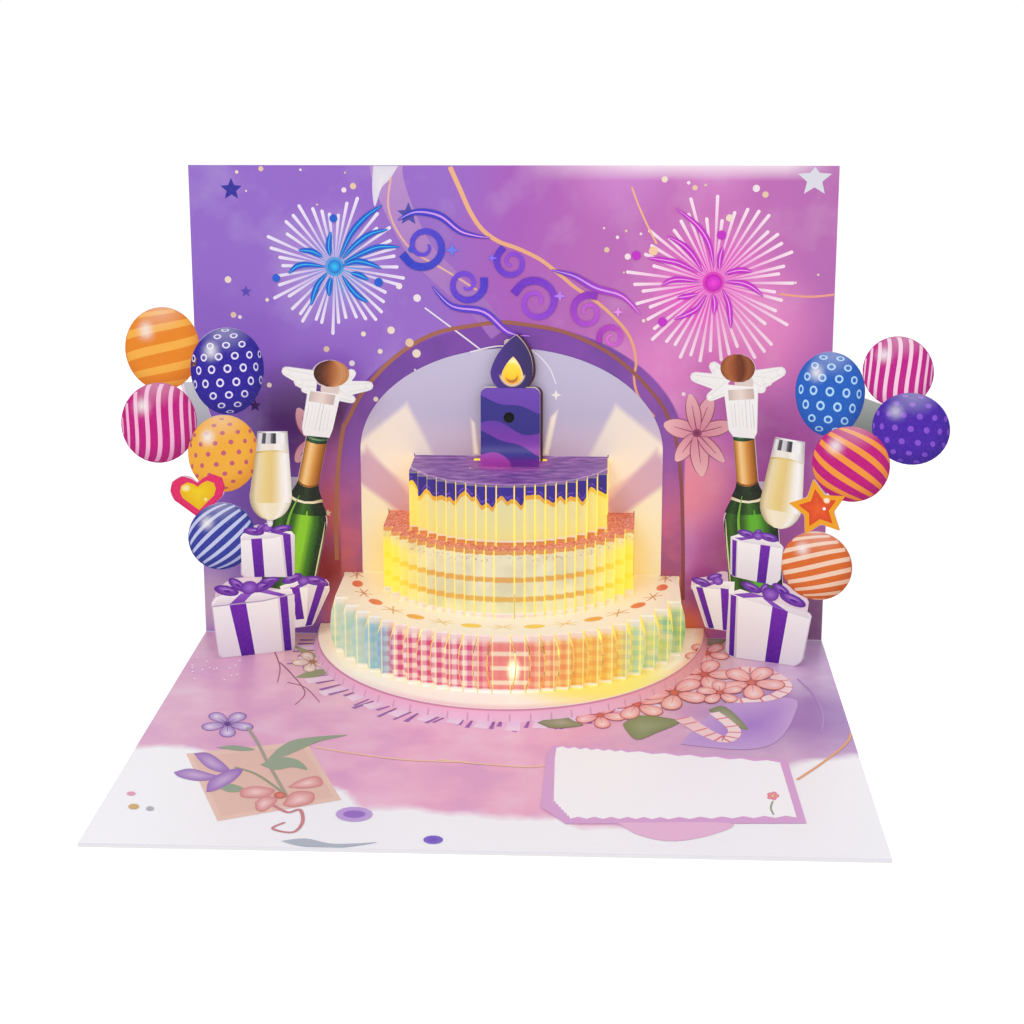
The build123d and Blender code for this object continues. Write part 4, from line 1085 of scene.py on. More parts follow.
def cake():
    p = Paint("cake_print", "f7f3ec", rough=0.45)
    front, flat = p.below(p.ny, -0.5, 0.1), p.above(p.nz, 0.5, 0.1)
    out = p.above(p.d, 1.4, 0.05)
    cream, fine = p.noise(9.0), p.noise(1.4)
    slit = arch_paper(p, p.both(front, p.below(p.d, 1.0, 0.1)))
    shelf, foot = p.both(flat, p.within(p.h, LEVEL_3 - 1.8, LEVEL_3 + 1.7)), p.both(flat, p.below(p.h, 6.0))
    upper_plates(p, flat)
    low_plate(p, shelf)
    foot_paper(p, foot)
    walls = [
        p.both(front, out, p.above(p.h, low, soft), p.below(p.h, top + 0.9))
        for low, soft, top in ((42.6, 0.4, LEVEL_1), (22.2, 0.4, LEVEL_2), (4.6, 0.3, LEVEL_3))
    ]
    below_icing = top_wall(p, walls[0], fine)
    middle_wall(p, walls[1], cream, fine)
    bottom_wall(p, walls[2], cream, fine)
    skirt(p)
    lamp_light(p, out, walls, below_icing)
    # painted warm light from the lamps on the low plate and the foot
    p.shine("3c3420", p.most(shelf, foot) * 0.8)
    p.shine("6a5a44", slit)
    dress(p.done(), "cake_sheet")


# Page
# Soft patches of the back panel's print, and dark patches of painted shade behind the side scenes: across,
# up, radius, colour, strength
BACK_PRINT_AND_SHADE = (
    (34, 150, 22, "d488d2", 0.8),
    (62, 150, 18, "d888cc", 0.8),
    (-55, 119, 24, "b898e0", 0.6),
    (-54, 118, 15, "6e9cec", 0.7),
    (-54, 118, 9, "30a8e4", 0.9),
    (63, 114, 34, "d878c0", 0.8),
    (62, 112, 24, "f05ccc", 0.95),
    (62, 111, 14, "ea1ec4", 1.0),
    (46, 86, 24, "e484c8", 0.9),
    (77, 99, 26, "ea8ac8", 0.9),
    (56, 50, 22, "ec8ca4", 1.0),
    # painted shade behind the right side scene
    (88, 60, 22, "a8439e", 0.6),
    (70, 29, 16, "b1578c", 0.9),
    (62, 14, 13, "8c297f", 0.9),
    (56, 3, 12, "e0702c", 0.9),
    # painted shade beside the right side scene's big gift
    (96, 6, 26, "6b4468", 0.8),
    # these two: painted shade behind the left side scene's bottle
    (-68, 70, 26, "54206c", 0.95),
    (-53, 70, 16, "602c52", 0.8),
    (-55, 54, 18, "b05c94", 0.9),
    (-56, 40, 17, "cc6468", 1.0),
    (-58, 22, 18, "a03828", 0.95),
    (-52, 6, 14, "e06a30", 0.9),
    (-98, 10, 18, "d2aec8", 0.9),
)
# Lower edge of the base's wash: across, and distance from the fold
WASH_EDGE = (
    (-93, 92), (-60, 100), (-38, 118), (-32, 126), (-6, 128), (18, 130), (24, 136), (60, 132),
    (76, 100), (84, 96),
    (98, 88),
)
# Painted lamp light on the back panel where it shows through the cuts of each tier: half its width, and its
# height
LIT_THROUGH = ((31.0, 59.0), (39.0, 40.5), (54.0, 20.5))


def course(p, value, *points):
    """A height that runs straight from point to point."""
    out = points[0][1]
    for (a, low), (b, high) in zip(points, points[1:]):
        out = p.rise(value, a, b, 0.0, high - low) + out
    return out


def back_wash(p, wash, cloud):
    back = p.both(p.below(abs(p.d), 0.5, 0.05), p.below(p.ny, -0.5, 0.1))
    tones = ((0.0, "9468cc"), (0.22, "9666cc"), (0.38, "9a6acb"), (0.50, "ae5cbe"), (0.62, "bd68ba"),
             (0.80, "c66cba"), (1.0, "ba68b4"))
    p.over(p.ramp(p.rise(p.x + wash * 24.0 - 12.0, -100.0, 100.0), *tones), back)
    for x, h, radius, code, amount in BACK_PRINT_AND_SHADE:
        near = p.rise(p.length(p.x - x, p.h - h), radius, radius * 0.15, 0.0, amount, smooth=True)
        p.over(code, back * near)
    p.over("ffffff", p.both(back, p.rise(cloud, 0.5, 0.8, 0.0, 0.12)))
    # painted highlight: a narrow sheen along the top edge of the back panel, at the right
    gleam = p.both(p.rise(p.h, 145.4, 149.6, 0.0, 0.85), p.rise(p.x, 0.0, 40.0), p.rise(p.x, 98.0, 84.0))
    p.over("fbe6f4", p.both(back, gleam))
    # Ring of colour round the arch: purple print that turns orange low down with painted warm light from the
    # cake
    reach = p.length(p.x * (1 / 55.0), p.math("MAXIMUM", p.h - 60.8, 0.0) * (1 / 40.5))
    ring = p.both(back, p.below(reach, 1.0, 0.006))
    tones = ((0.0, "d86a3c"), (0.3, "c86286"), (0.55, "8a4aa8"), (1.0, "7a3ca8"))
    p.over(p.ramp(p.rise(p.h, 10.0, 100.0), *tones), p.both(ring, 0.92))
    p.over("5c2f92", p.both(ring, p.rise(cloud, 0.45, 0.7, 0.0, 0.5)))
    lit_parts = [p.both(p.below(abs(p.x), wide), p.below(p.h, high)) for wide, high in LIT_THROUGH]
    lit_back = p.most(*lit_parts) * back
    p.over("ffef9a", lit_back)
    p.shine("c8a838", lit_back * 0.8)


def base_wash(p, wash, cloud):
    """Pink wash with a torn lower edge, over white, with painted warm light from the cake round its foot."""
    base = p.both(p.above(p.d, 0.5, 0.05), p.above(p.nz, 0.5, 0.1))
    p.over("fbfbff", base)
    ragged = p.noise(18.0, 3.0, seed=6.0) * 14.0 - 7.0
    pink = p.both(base, p.below(p.d + ragged - course(p, p.x, *WASH_EDGE), 0.0, 2.2))
    tones = ((0.0, "dd9cc2"), (0.3, "efacd0"), (0.6, "f0a4c8"), (0.82, "cf9cc6"), (1.0, "c29ad0"))
    tone = p.ramp(p.rise(p.x + wash * 40.0 - 20.0, -100.0, 100.0), *tones)
    p.over(tone, p.both(pink, p.rise(wash, 0.15, 0.75, 1.0, 0.85)))
    p.over("f8eaf4", p.both(pink, p.rise(cloud, 0.5, 0.75, 0.0, 0.3)))
    p.over("cc8ccc", p.both(pink, p.rise(cloud, 0.5, 0.3, 0.0, 0.4)))
    violet = p.rise(p.length((p.x - 88.0) * 0.8, p.d - 62.0), 30.0, 8.0, 0.0, 0.7)
    p.over("8e62b4", p.both(pink, violet))
    # painted warm light from the cake's lamps on the base beside the foot
    cake_light_near_foot = p.rise(foot_reach(p), 1.35, 1.0, 0.0, 0.6)
    p.over("fce0b4", p.both(base, cake_light_near_foot, p.rise(p.d, 70.0, 20.0)))


def page():
    p = Paint("page_print", "ece8f2", rough=0.32, grain=0.03)
    wash, cloud = p.noise(42.0), p.noise(14.0, 3.0, seed=3.0)
    back_wash(p, wash, cloud)
    base_wash(p, wash, cloud)
    dress(p.done(), "inner_page")
    plain("cover_board", "f1eff0", "e3e0e6", 60.0, 0.3, "cover", rough=0.35, grain=0.03)


# Prints of the back panel and base, read off the photograph in pixels.
# A window is the corner of an enlarged part of the photograph, and how many times it is enlarged.
WHOLE = (0, 0, 1)
BACK_LEFT, BACK_RIGHT = (190, 160, 4.6), (500, 160, 4.4)
BASE_LEFT, BASE_RIGHT = (80, 630, 4.0), (440, 630, 3.5)
# Photograph's pixels to a millimetre on the back panel
PIXELS = 3.2
BACK_LIMITS = ((-99.8, 0.2), (99.8, 149.8))
BASE_LIMITS = ((-99.8, -149.8), (99.8, -0.5))

SWOOSH = ((905, 0), (905, 60), (930, 150), (985, 280), (1070, 430), (1200, 560), (1330, 680), (1420, 800))
WHITE_CORNER = ((845, 5), (955, 5), (925, 80), (880, 130), (850, 215), (838, 120))
LEFT_BURST, RIGHT_BURST = (334.6, 266.5), (713.6, 282.7)
PALE_STAR, LINE_END, ARCH_STAR = (814.8, 179.3), (653.4, 251), (556, 395)
# Stars: place, colour, radius
BACK_STARS = (
    ((231.3, 189.3), "34309e", 3.5),
    ((408.5, 214.3), "5050ac", 3.7),
    ((246, 291.5), "6048ba", 1.9),
    ((255, 405.6), "3e1e60", 2.1),
    ((328, 513), "f0d8b0", 1.3),
)
GOLD_LINE = (
    (449.8, 166.5), (459.6, 188.3), (470.4, 212.2), (482.4, 229.6), (498.7, 241.5), (518, 248.6), (541, 260),
    (561.4, 276), (575, 287.3), (595.5, 301), (613.6, 316.8), (627.3, 332.7), (634, 348.6), (636, 364.5),
    (634, 378), (638.6, 396.4), (654.5, 416.8),
)
LEFT_LINE = ((391, 177), (388, 203.5), (394, 225), (407, 245), (420, 256), (446.5, 271), (477, 290))
WHITE_LINE = ((424.8, 307.8), (460, 334), (494.3, 360))
RIGHT_LINE = ((631.8, 187), (638.6, 205.5), (647.7, 226), (656.8, 244))
FAR_LINE = ((779.5, 294), (802, 296.4), (818, 296.4), (838.6, 294))
ARCH_LINE = (
    (337, 560), (336, 520), (338, 470), (343, 430), (347.6, 420), (359.6, 397), (374.8, 377), (394, 358),
    (416, 342.6), (440, 331.7), (468, 326.3), (500, 322.3), (527, 324.8), (559, 330.5), (586, 340.7),
    (609, 353), (629.5, 369), (645.5, 385), (659, 401), (668, 417), (676, 440), (681, 480),
    (683, 540), (683, 600),
)
ARCH_CURVE = ((470, 352), (500, 346), (530, 350), (548, 366), (556, 384))
# Pale dots: across, down, radius
LEFT_DOTS = (
    (215, 55, 8), (326, 40, 12), (508, 45, 6), (750, 120, 15), (708, 138, 12), (713, 58, 5), (585, 205, 5),
    (175, 550, 16), (200, 712, 14), (230, 722, 9), (355, 643, 9), (962, 580, 15), (1045, 635, 18),
    (925, 783, 18),
    (798, 800, 12), (875, 880, 12), (628, 870, 14), (745, 935, 14), (1010, 840, 20), (1042, 890, 20),
    (365, 1035, 12), (855, 1100, 12), (258, 142, 5), (1035, 965, 5),
)
RIGHT_DOTS = (
    (725, 85, 14), (858, 122, 12), (830, 100, 8), (905, 110, 6), (1128, 125, 16), (1168, 152, 14),
    (1010, 255, 16),
    (470, 395, 12), (517, 340, 8), (555, 312, 6), (562, 425, 14), (458, 300, 5), (620, 325, 6), (545, 495, 5),
    (632, 707, 8), (1400, 505, 5), (808, 1030, 9), (35, 805, 18), (1300, 540, 6),
)
# Bows beside the arch: the knot, then each petal's end and width
BOWS = (
    ((697, 433), ((664, 424, 5.6), (676, 461, 4.6), (702, 476, 5.4), (724, 462, 3.6), (733, 424, 4.6),
                  (712, 396, 4.8), (690, 394, 4.2))),
    ((312, 440), ((298, 408, 4.6), (306, 482, 5.0), (296, 462, 4.2))),
)
# Foil petals of the fireworks
LEFT_FOIL = (
    ((690, 450), (740, 340), (810, 260), (885, 208)),
    ((700, 455), (760, 390), (830, 340), (910, 320)),
    ((710, 470), (800, 425), (870, 400), (965, 400)),
    ((645, 440), (638, 390), (648, 330)),
    ((610, 445), (560, 420), (500, 415)),
    ((620, 490), (540, 480), (490, 490), (455, 522)),
    ((630, 520), (590, 570), (570, 620), (558, 668)),
    ((650, 540), (640, 580), (640, 625)),
    ((700, 530), (740, 590), (780, 630), (820, 652)),
    ((740, 520), (780, 530), (820, 550)),
    ((700, 488), (760, 465), (820, 475), (880, 498)),
)
RIGHT_FOIL = (
    ((940, 470), (920, 370), (870, 290), (775, 212)),
    ((890, 490), (850, 420), (800, 370), (735, 335)),
    ((870, 495), (790, 455), (720, 440), (650, 430)),
    ((965, 480), (968, 430), (980, 385)),
    ((875, 535), (800, 525), (750, 530), (710, 552)),
    ((870, 590), (820, 600), (780, 605)),
    ((905, 595), (870, 650), (820, 680), (765, 700)),
    ((935, 590), (945, 630), (940, 680)),
    ((980, 570), (1005, 630), (1012, 690), (1015, 740)),
    ((990, 535), (1060, 540), (1110, 560), (1158, 600)),
    ((990, 500), (1050, 485), (1110, 490)),
)
LEFT_FOIL_DOTS = ((660, 268, 18), (397, 542, 18), (868, 562, 20), (1020, 410, 16))
RIGHT_FOIL_DOTS = ((975, 330, 20), (600, 420, 20), (715, 712, 20))
# Foil in place of the words. Coils: place, radius, turns, start, two colours, width
COILS = (
    (424, 246, 7.2, 1.5, 200, "2a3cc0", "6a48d8", 2.6),
    (466, 284, 6.0, -1.4, 20, "4a34c4", "8a4cdc", 2.4),
    (512, 262, 5.2, 1.4, 120, "5a30c4", "a050dc", 2.2),
    (536, 302, 7.4, -1.5, 160, "6a2cc0", "b454dc", 2.6),
    (588, 312, 5.6, 1.4, 60, "8a2cbc", "d060d8", 2.3),
    (612, 338, 4.2, -1.3, 200, "a42cb4", "e070d4", 2.0),
)
RIBBONS = (
    (((398, 220), (416, 212), (440, 216), (462, 232), (490, 238)), "2a3cc0", "5a38c8"),
    (((432, 286), (452, 306), (484, 312), (508, 332), (530, 336)), "3a38c4", "7a3ccc"),
    (((552, 270), (574, 276), (596, 288), (622, 296), (640, 314)), "7030c0", "c040c4"),
)
SPARKLES = (
    (452, 250, 2.2, "6a7cf0"), (492, 258, 1.6, "8a6cf0"), (560, 296, 2.0, "b87cf0"),
    (618, 312, 1.7, "e890e8"),
)


def rays(art, middle, start, reach, inner, outer, seed, count):
    """The straight rays of a firework, with round ends."""
    draw = random.Random(seed)
    x, y = art.pixel(*middle)
    level = art.lift
    for n in range(count):
        angle = math.tau * (n + draw.uniform(-0.2, 0.2)) / count
        far = reach * draw.uniform(0.7, 1.0)
        c, s = math.cos(angle), math.sin(angle)
        art.lift = level
        art.line([(x + c * start, y + s * start), (x + c * far, y + s * far)], 0.35, inner, 3.0, outer)
        art.disc(x + c * far, y + s * far, 0.55, outer, corners=8)


def curl(art, px, py, radius, turns, start, tint, end_tint, width):
    """A coil of ribbon that narrows towards its middle."""
    x, y = art.pixel(px, py)
    path = []
    for n in range(15):
        t = n / 14
        angle = math.radians(start) + math.tau * turns * t
        r = radius * (1 - 0.8 * t)
        path.append((x + r * math.cos(angle), y + r * math.sin(angle)))
    art.line(path, width, tint, 0.3, end_tint, 4)


def petals(art, knot, ends):
    """Petals that run out from a knot, each with a dark edge and a vein."""
    x, y = art.pixel(*knot)
    for px, py, width in ends:
        u, v = art.pixel(px, py)
        path = [(x, y), ((x + u) / 2, (y + v) / 2), (u, v)]
        art.spindle(path, width + 0.7, "8e4468", "b06a80")
        art.spindle(path, width, "d8809c", "f6c2c4")
        art.line([(x, y), (x + (u - x) * 0.7, y + (v - y) * 0.7)], 0.4, "8e3c64", 0.4)
    art.disc(x, y, 1.5, "6c2a52", 0.9, "a04a70")


def back_print():
    art = Decals("back_print", BACK, limits=BACK_LIMITS)
    art.trail(BACK_LEFT, SWOOSH, 10.5, "c098d2", 0.55, "a870c4")
    art.blob(BACK_LEFT, WHITE_CORNER, "efeaf2", "e2dcec")
    for middle, tint, radius in BACK_STARS:
        art.star(*art.pixel(*middle), radius, tint)
    art.star(*art.pixel(*PALE_STAR), 5.4, "e0e0ea", top=BACK_LIMITS[1][1] - 0.1)
    rays(art, LEFT_BURST, 3.0, 22.5, "cdb4ea", "f2eafc", 11, 42)
    rays(art, RIGHT_BURST, 3.4, 27.0, "f48cdc", "ffe8f4", 12, 48)
    art.trail(WHOLE, GOLD_LINE, 1.5, "f4b88c", 0.45, "ecaa80")
    art.trail(WHOLE, LEFT_LINE, 0.6, "ecb8a8")
    art.trail(WHOLE, WHITE_LINE, 0.5, "f0e8f4")
    art.trail(WHOLE, RIGHT_LINE, 0.6, "f4bc94")
    art.disc(*art.pixel(*LINE_END), 1.4, "fbd0a8")
    art.trail(WHOLE, FAR_LINE, 0.7, "f4a894")
    art.trail(WHOLE, ARCH_LINE, 1.4, "b87858", 0.8, "8c4a50")
    level = art.lift
    draw = random.Random(21)
    for window, dots in ((BACK_LEFT, LEFT_DOTS), (BACK_RIGHT, RIGHT_DOTS)):
        for x, y, r in dots:
            art.lift = level
            tint = draw.choice(("f4e2ce", "ecccae", "f6e6ee"))
            art.disc(*art.crop(window, (x, y))[0], r / window[2] / PIXELS, tint, corners=10)
    for knot, ends in BOWS:
        petals(art, knot, ends)
    art.build(PAGE_INK)


def back_foil():
    """Foil fireworks, and coils, ribbons and sparkles in place of the foil words."""
    foil = Decals("back_foil", BACK, lift=0.26, limits=BACK_LIMITS)
    for window, strokes, tint, glint in (
        (BACK_LEFT, LEFT_FOIL, "1a5ccc", "30c0ec"),
        (BACK_RIGHT, RIGHT_FOIL, "c22cc4", "f4a0e8"),
    ):
        level = foil.lift
        for points in strokes:
            foil.lift = level
            foil.spindle(foil.crop(window, *points), 1.9, tint)
            foil.spindle(foil.crop(window, *points), 0.32, glint)
    foil.disc(*foil.pixel(*LEFT_BURST), 2.0, "30c8ec", outer="1a6cd4")
    foil.disc(*foil.pixel(*RIGHT_BURST), 2.6, "f040d8", outer="c010b4")
    for window, dots, tint in (
        (BACK_LEFT, LEFT_FOIL_DOTS, "1a5ccc"),
        (BACK_RIGHT, RIGHT_FOIL_DOTS, "c22cc4"),
    ):
        for x, y, r in dots:
            foil.disc(*foil.crop(window, (x, y))[0], r / window[2] / PIXELS, tint)
    for coil in COILS:
        curl(foil, *coil)
    for points, tint, end_tint in RIBBONS:
        foil.spindle(foil.crop(WHOLE, *points), 2.4, tint, end_tint)
        # painted highlight along each ribbon of foil
        foil.spindle(foil.crop(WHOLE, *points), 0.6, "b090f0", "f0a0e8")
    for px, py, r, tint in SPARKLES:
        foil.star(*foil.pixel(px, py), r, tint, 0.35, 0, 4)
    foil.build(FOIL_INK)


def arch_print():
    art = Decals("arch_print", ARCH, keep=lambda u, v: v > 59.5)
    art.trail(WHOLE, ARCH_CURVE, 0.45, "f4eef8")
    art.star(*art.pixel(*ARCH_STAR), 1.7, "fffaf0", 0.4, 0, 4)
    art.build(PAGE_INK)


# Leaves, striped ribbons and blossoms at the cake's right foot. A blossom has its x, y, radius and turn.
FOOT_LEAVES = (
    (((640, 330), (700, 300), (840, 320), (760, 360), (690, 385), (650, 350)), "9aa07c"),
    (((340, 325), (420, 300), (470, 320), (500, 335), (400, 345)), "b0a888"),
    (((940, 280), (1000, 270), (1080, 350), (1000, 325)), "a8a890"),
    (((890, 30), (1000, 30), (960, 60)), "a0a488"),
)
STRIPED_RIBBONS = (
    ((850, 310), (930, 360), (1000, 385), (1030, 350), (960, 290)),
    ((1050, 140), (1150, 150), (1210, 200), (1150, 240), (1000, 250)),
)
BLOSSOMS = (
    (560, 300, 92, 10), (690, 262, 110, 40), (935, 84, 80, 20), (925, 158, 106, 0), (820, 222, 122, 25),
    (1090, 186, 120, 12), (980, 222, 84, 50),
)
# Colours of blossoms: near the edge, in the middle, the outline, and the heart
PINK, VIOLET = ("f2a4a0", "fce0dc", "c4645c", "e8683c"), ("a884c8", "ecdcf2", "6c4494", "4c2c80")
CREAM = ("e8c8b8", "faf0e4", "a87468", "c89048")

# The sheet at the left with its bouquet, in the order of drawing
SHEET_EDGE = ((425, 495), (905, 445), (1045, 680), (550, 765))
SHEET = ((450, 510), (890, 464), (1015, 668), (566, 746))
CREAM_LEAVES = (
    (((850, 60), (930, 90), (1000, 150), (940, 140)), "a8a878"),
    (((860, 190), (930, 160), (1010, 160), (940, 190)), "98a078"),
    (((1020, 60), (1040, 110), (1025, 160), (1000, 110)), "b0a888"),
)
TWIGS = (
    ((800, 130), (850, 180), (900, 250), (860, 300)),
    ((830, 210), (900, 230), (960, 290)),
    ((780, 90), (800, 150), (790, 210)),
)
LONG_STEM = ((670, 390), (710, 450), (745, 520), (790, 600), (830, 670))
SHORT_STEM = ((620, 550), (700, 575), (770, 620), (820, 660))
BOUQUET_LEAVES = (
    ((545, 470), (620, 462), (700, 478), (640, 485)),
    ((750, 520), (800, 470), (880, 435), (1070, 420), (960, 446), (880, 480), (820, 505)),
    ((720, 540), (790, 510), (870, 520), (910, 560), (850, 550), (780, 560)),
    ((550, 630), (600, 615), (665, 640), (600, 650)),
)
IRIS = (
    ((455, 495), (520, 495), (600, 560), (560, 570), (500, 545)),
    ((375, 570), (440, 555), (520, 575), (560, 590), (480, 605), (400, 590)),
    ((505, 650), (520, 600), (600, 560), (650, 560), (620, 600), (550, 640)),
)
LILY = (
    ((640, 640), (700, 625), (780, 640), (740, 670), (650, 670)),
    ((830, 630), (880, 600), (950, 585), (970, 620), (900, 635)),
    ((700, 690), (740, 665), (790, 680), (740, 725), (705, 720)),
    ((810, 700), (850, 650), (930, 650), (930, 690), (850, 710)),
)
TENDRIL = ((770, 700), (830, 730), (880, 720), (890, 770), (850, 810), (770, 795), (820, 770))
FEATHER = ((805, 845), (900, 835), (1000, 855), (1100, 855), (1190, 850), (1100, 865), (1000, 875),
           (880, 865))
# Ovals: across, down, half width, half height, middle and edge colours
LILY_HEART = (800, 662, 26, 14, "e88a78", "c86858")
BUTTONS = (
    (1097, 738, 75, 30, "b490d8", "c8a8e0"),
    (1097, 738, 45, 15, "9a70c8", None),
    (1413, 840, 40, 17, "6a4cc4", "8468d0"),
)
LEFT_SPOTS = ((215, 707, 22, 11, "d8b070"), (280, 715, 16, 9, "b8b4c0"), (205, 655, 18, 8, "e8a0b8"))
SPRINKLE_X, SPRINKLE_Y = (440, 640), (110, 210)

# Lines, the violet lobe and the label on its mat
LEFT_WAVE = ((940, 470), (1100, 495), (1300, 520), (1560, 530))
RIGHT_WAVE = ((0, 455), (150, 470), (330, 480), (400, 460))
LOBE = ((840, 400), (1000, 260), (1230, 240), (1240, 300), (1180, 390), (1060, 420))
LOBE_LINE = ((1250, 170), (1310, 230), (1340, 300), (1335, 360))
CORNER_LINE = ((1250, 525), (1340, 465), (1420, 400), (1440, 360))
MAT = ((395, 405), (650, 420), (1215, 455), (1283, 678), (440, 680), (352, 620), (372, 440))
MAT_LOBE = ((620, 676), (1010, 676), (960, 715), (820, 740), (700, 720))
LABEL_TOP = ((408, 412), (655, 428), (1190, 465))
LABEL_LOW = ((1248, 656), (800, 662), (455, 660), (398, 600), (402, 450), (408, 412))
SMALL_STEM = ((1165, 600), (1158, 625), (1168, 648))
SMALL_FLOWER = (1165, 582)


def blossom(art, window, x, y, radius, turn, tints=PINK):
    """A flower of five wide petals with a thin outline, lying on the page."""
    near, far, outline, heart = tints
    for n in range(5):
        angle = math.radians(turn + 72 * n)
        c, s = math.cos(angle), math.sin(angle)
        for size, inner, outer in ((1.0, outline, outline), (0.92, far, near)):
            ring = []
            for k in range(16):
                along = 0.56 + 0.44 * size * math.cos(math.tau * k / 16)
                wide = 0.31 * size * math.sin(math.tau * k / 16) * (0.7 + 0.5 * along)
                a, b = along * c - wide * s, along * s + wide * c
                ring.append((x + radius * a, y + radius * 0.5 * b))
            middle, *edge = art.crop(window, (x + radius * 0.7 * c, y + radius * 0.35 * s), *ring)
            art.fan(middle, edge, inner, outer)
        vein = [(x + radius * t * c, y + radius * 0.5 * t * s) for t in (0.1, 0.62)]
        art.trail(window, vein, 0.25, outline, 0.4)
    art.spot(window, x, y, radius * 0.13, radius * 0.08, heart, outline)


def flowers(art):
    """The flowers, leaves and striped ribbons at the cake's right foot."""
    for points, tint in FOOT_LEAVES:
        art.blob(BASE_RIGHT, points, tint, "80885c")
    for points in STRIPED_RIBBONS:
        art.trail(BASE_RIGHT, points, 5.2, "f6ccd0", 0.6, "fbe4e4")
        across = smooth(art.crop(BASE_RIGHT, *points), 5)
        for (x0, y0), (x1, y1) in list(zip(across, across[1:]))[::2]:
            run = math.hypot(x1 - x0, y1 - y0) or 1.0
            sx, sy = -(y1 - y0) / run * 2.2, (x1 - x0) / run * 2.2
            art.line([(x0 + sx, y0 + sy), (x0 - sx, y0 - sy)], 0.7, "e0808c")
    for x, y, radius, turn in BLOSSOMS:
        blossom(art, BASE_RIGHT, x, y, radius, turn)


def ruffle(art, draw):
    """Short strokes that lie round the cake's foot."""
    level = art.lift
    wide, deep = FOOT_WIDE + 0.6, FOOT_DEEP + 0.6
    for n in range(58):
        angle = math.radians(-174 + n * 2.5 + draw.uniform(-0.7, 0.7))
        c, s = math.cos(angle), math.sin(angle)
        long = draw.uniform(3.6, 9.0)
        lean = draw.uniform(-2.4, 0.2)
        ends = [(wide * c, deep * s), ((wide + long) * c + lean, (deep + long) * s)]
        art.lift = level + n % 6 * 0.002
        if n % 3 == 2:
            art.line(ends, 3.6, "ecc8e4", 1.2, "f6dcee")
        else:
            art.line(ends, 0.6, "8a4a92", draw.uniform(1.6, 3.0), "a06cb4")


def bouquet(art):
    """The sheet at the left with its flowers and twigs."""
    art.shape(art.crop(BASE_LEFT, *SHEET_EDGE), "ecc8ba")
    art.shape(art.crop(BASE_LEFT, *SHEET), "e8c0b2")
    blossom(art, BASE_LEFT, 590, 376, 108, 18, VIOLET)
    for points, tint in CREAM_LEAVES:
        art.blob(BASE_LEFT, points, tint)
    blossom(art, BASE_LEFT, 930, 128, 84, 30, CREAM)
    for points in TWIGS:
        art.trail(BASE_LEFT, points, 0.45, "a04a70", 0.5)
    art.trail(BASE_LEFT, LONG_STEM, 1.0, "a8a090")
    for points in BOUQUET_LEAVES:
        art.blob(BASE_LEFT, points, "98a890")
    art.trail(BASE_LEFT, SHORT_STEM, 0.9, "a0a088")
    for points in IRIS:
        art.blob(BASE_LEFT, points, "d0b0dc", "9a6cbc")
    for points in LILY:
        art.blob(BASE_LEFT, points, "fad4d0", "d88888")
    art.spot(BASE_LEFT, *LILY_HEART)
    art.trail(BASE_LEFT, TENDRIL, 1.1, "d08890", 0.7)


def label(art):
    """The label, left bare, with its torn edge and a small flower, on its mat."""
    art.shape(art.crop(BASE_RIGHT, *MAT), "dca8d8")
    art.blob(BASE_RIGHT, MAT_LOBE, "ecbcdc")
    edge = []
    for points in (LABEL_TOP, LABEL_LOW):
        row = art.crop(BASE_RIGHT, *points)
        for (x0, y0), (x1, y1) in zip(row, row[1:]):
            for n in range(12):
                tooth = 0.9 if n % 2 else -0.3
                edge.append((x0 + (x1 - x0) * n / 12, y0 + (y1 - y0) * n / 12 + tooth))
        edge.append(row[-1])
    art.shape(edge, "fdfbfe")
    art.trail(BASE_RIGHT, SMALL_STEM, 0.5, "90a080")
    x, y = SMALL_FLOWER
    for n in range(5):
        turn = math.radians(72 * n)
        petal = (x + 13 * math.cos(turn), y + 9 * math.sin(turn))
        art.spot(BASE_RIGHT, *petal, 10, 7, "f4a8b8", "e07890", corners=8)
    art.spot(BASE_RIGHT, x, y, 6, 4, "f8d060", corners=8)


def base_print():
    art = Decals("base_print", BASE, limits=BASE_LIMITS)
    draw = random.Random(31)
    ruffle(art, draw)
    bouquet(art)
    for button in BUTTONS:
        art.spot(BASE_LEFT, *button)
    art.blob(BASE_LEFT, FEATHER, "b4bcc8")
    level = art.lift
    for n in range(16):
        art.lift = level
        place = draw.uniform(*SPRINKLE_X), draw.uniform(*SPRINKLE_Y)
        art.spot(BASE_LEFT, *place, 5, 3, "f6e4ee", corners=8)
    for spot in LEFT_SPOTS:
        art.spot(BASE_LEFT, *spot)
    art.trail(BASE_LEFT, LEFT_WAVE, 0.8, "f6ccb0")
    art.trail(BASE_RIGHT, RIGHT_WAVE, 0.8, "f6ccb0")
    art.blob(BASE_RIGHT, LOBE, "a87cd0", "c8a4dc")
    art.trail(BASE_RIGHT, LOBE_LINE, 0.6, "b890cc")
    art.trail(BASE_RIGHT, CORNER_LINE, 0.8, "e8a878")
    label(art)
    flowers(art)
    art.build(PAGE_INK)


def foot_print():
    """The part of the flowers that lies on the cake's foot."""
    art = Decals("foot_print", FOOT, keep=lambda u, v: (u / 61.6) ** 2 + (v / 68.6) ** 2 < 1)
    flowers(art)
    art.build(PAGE_INK)


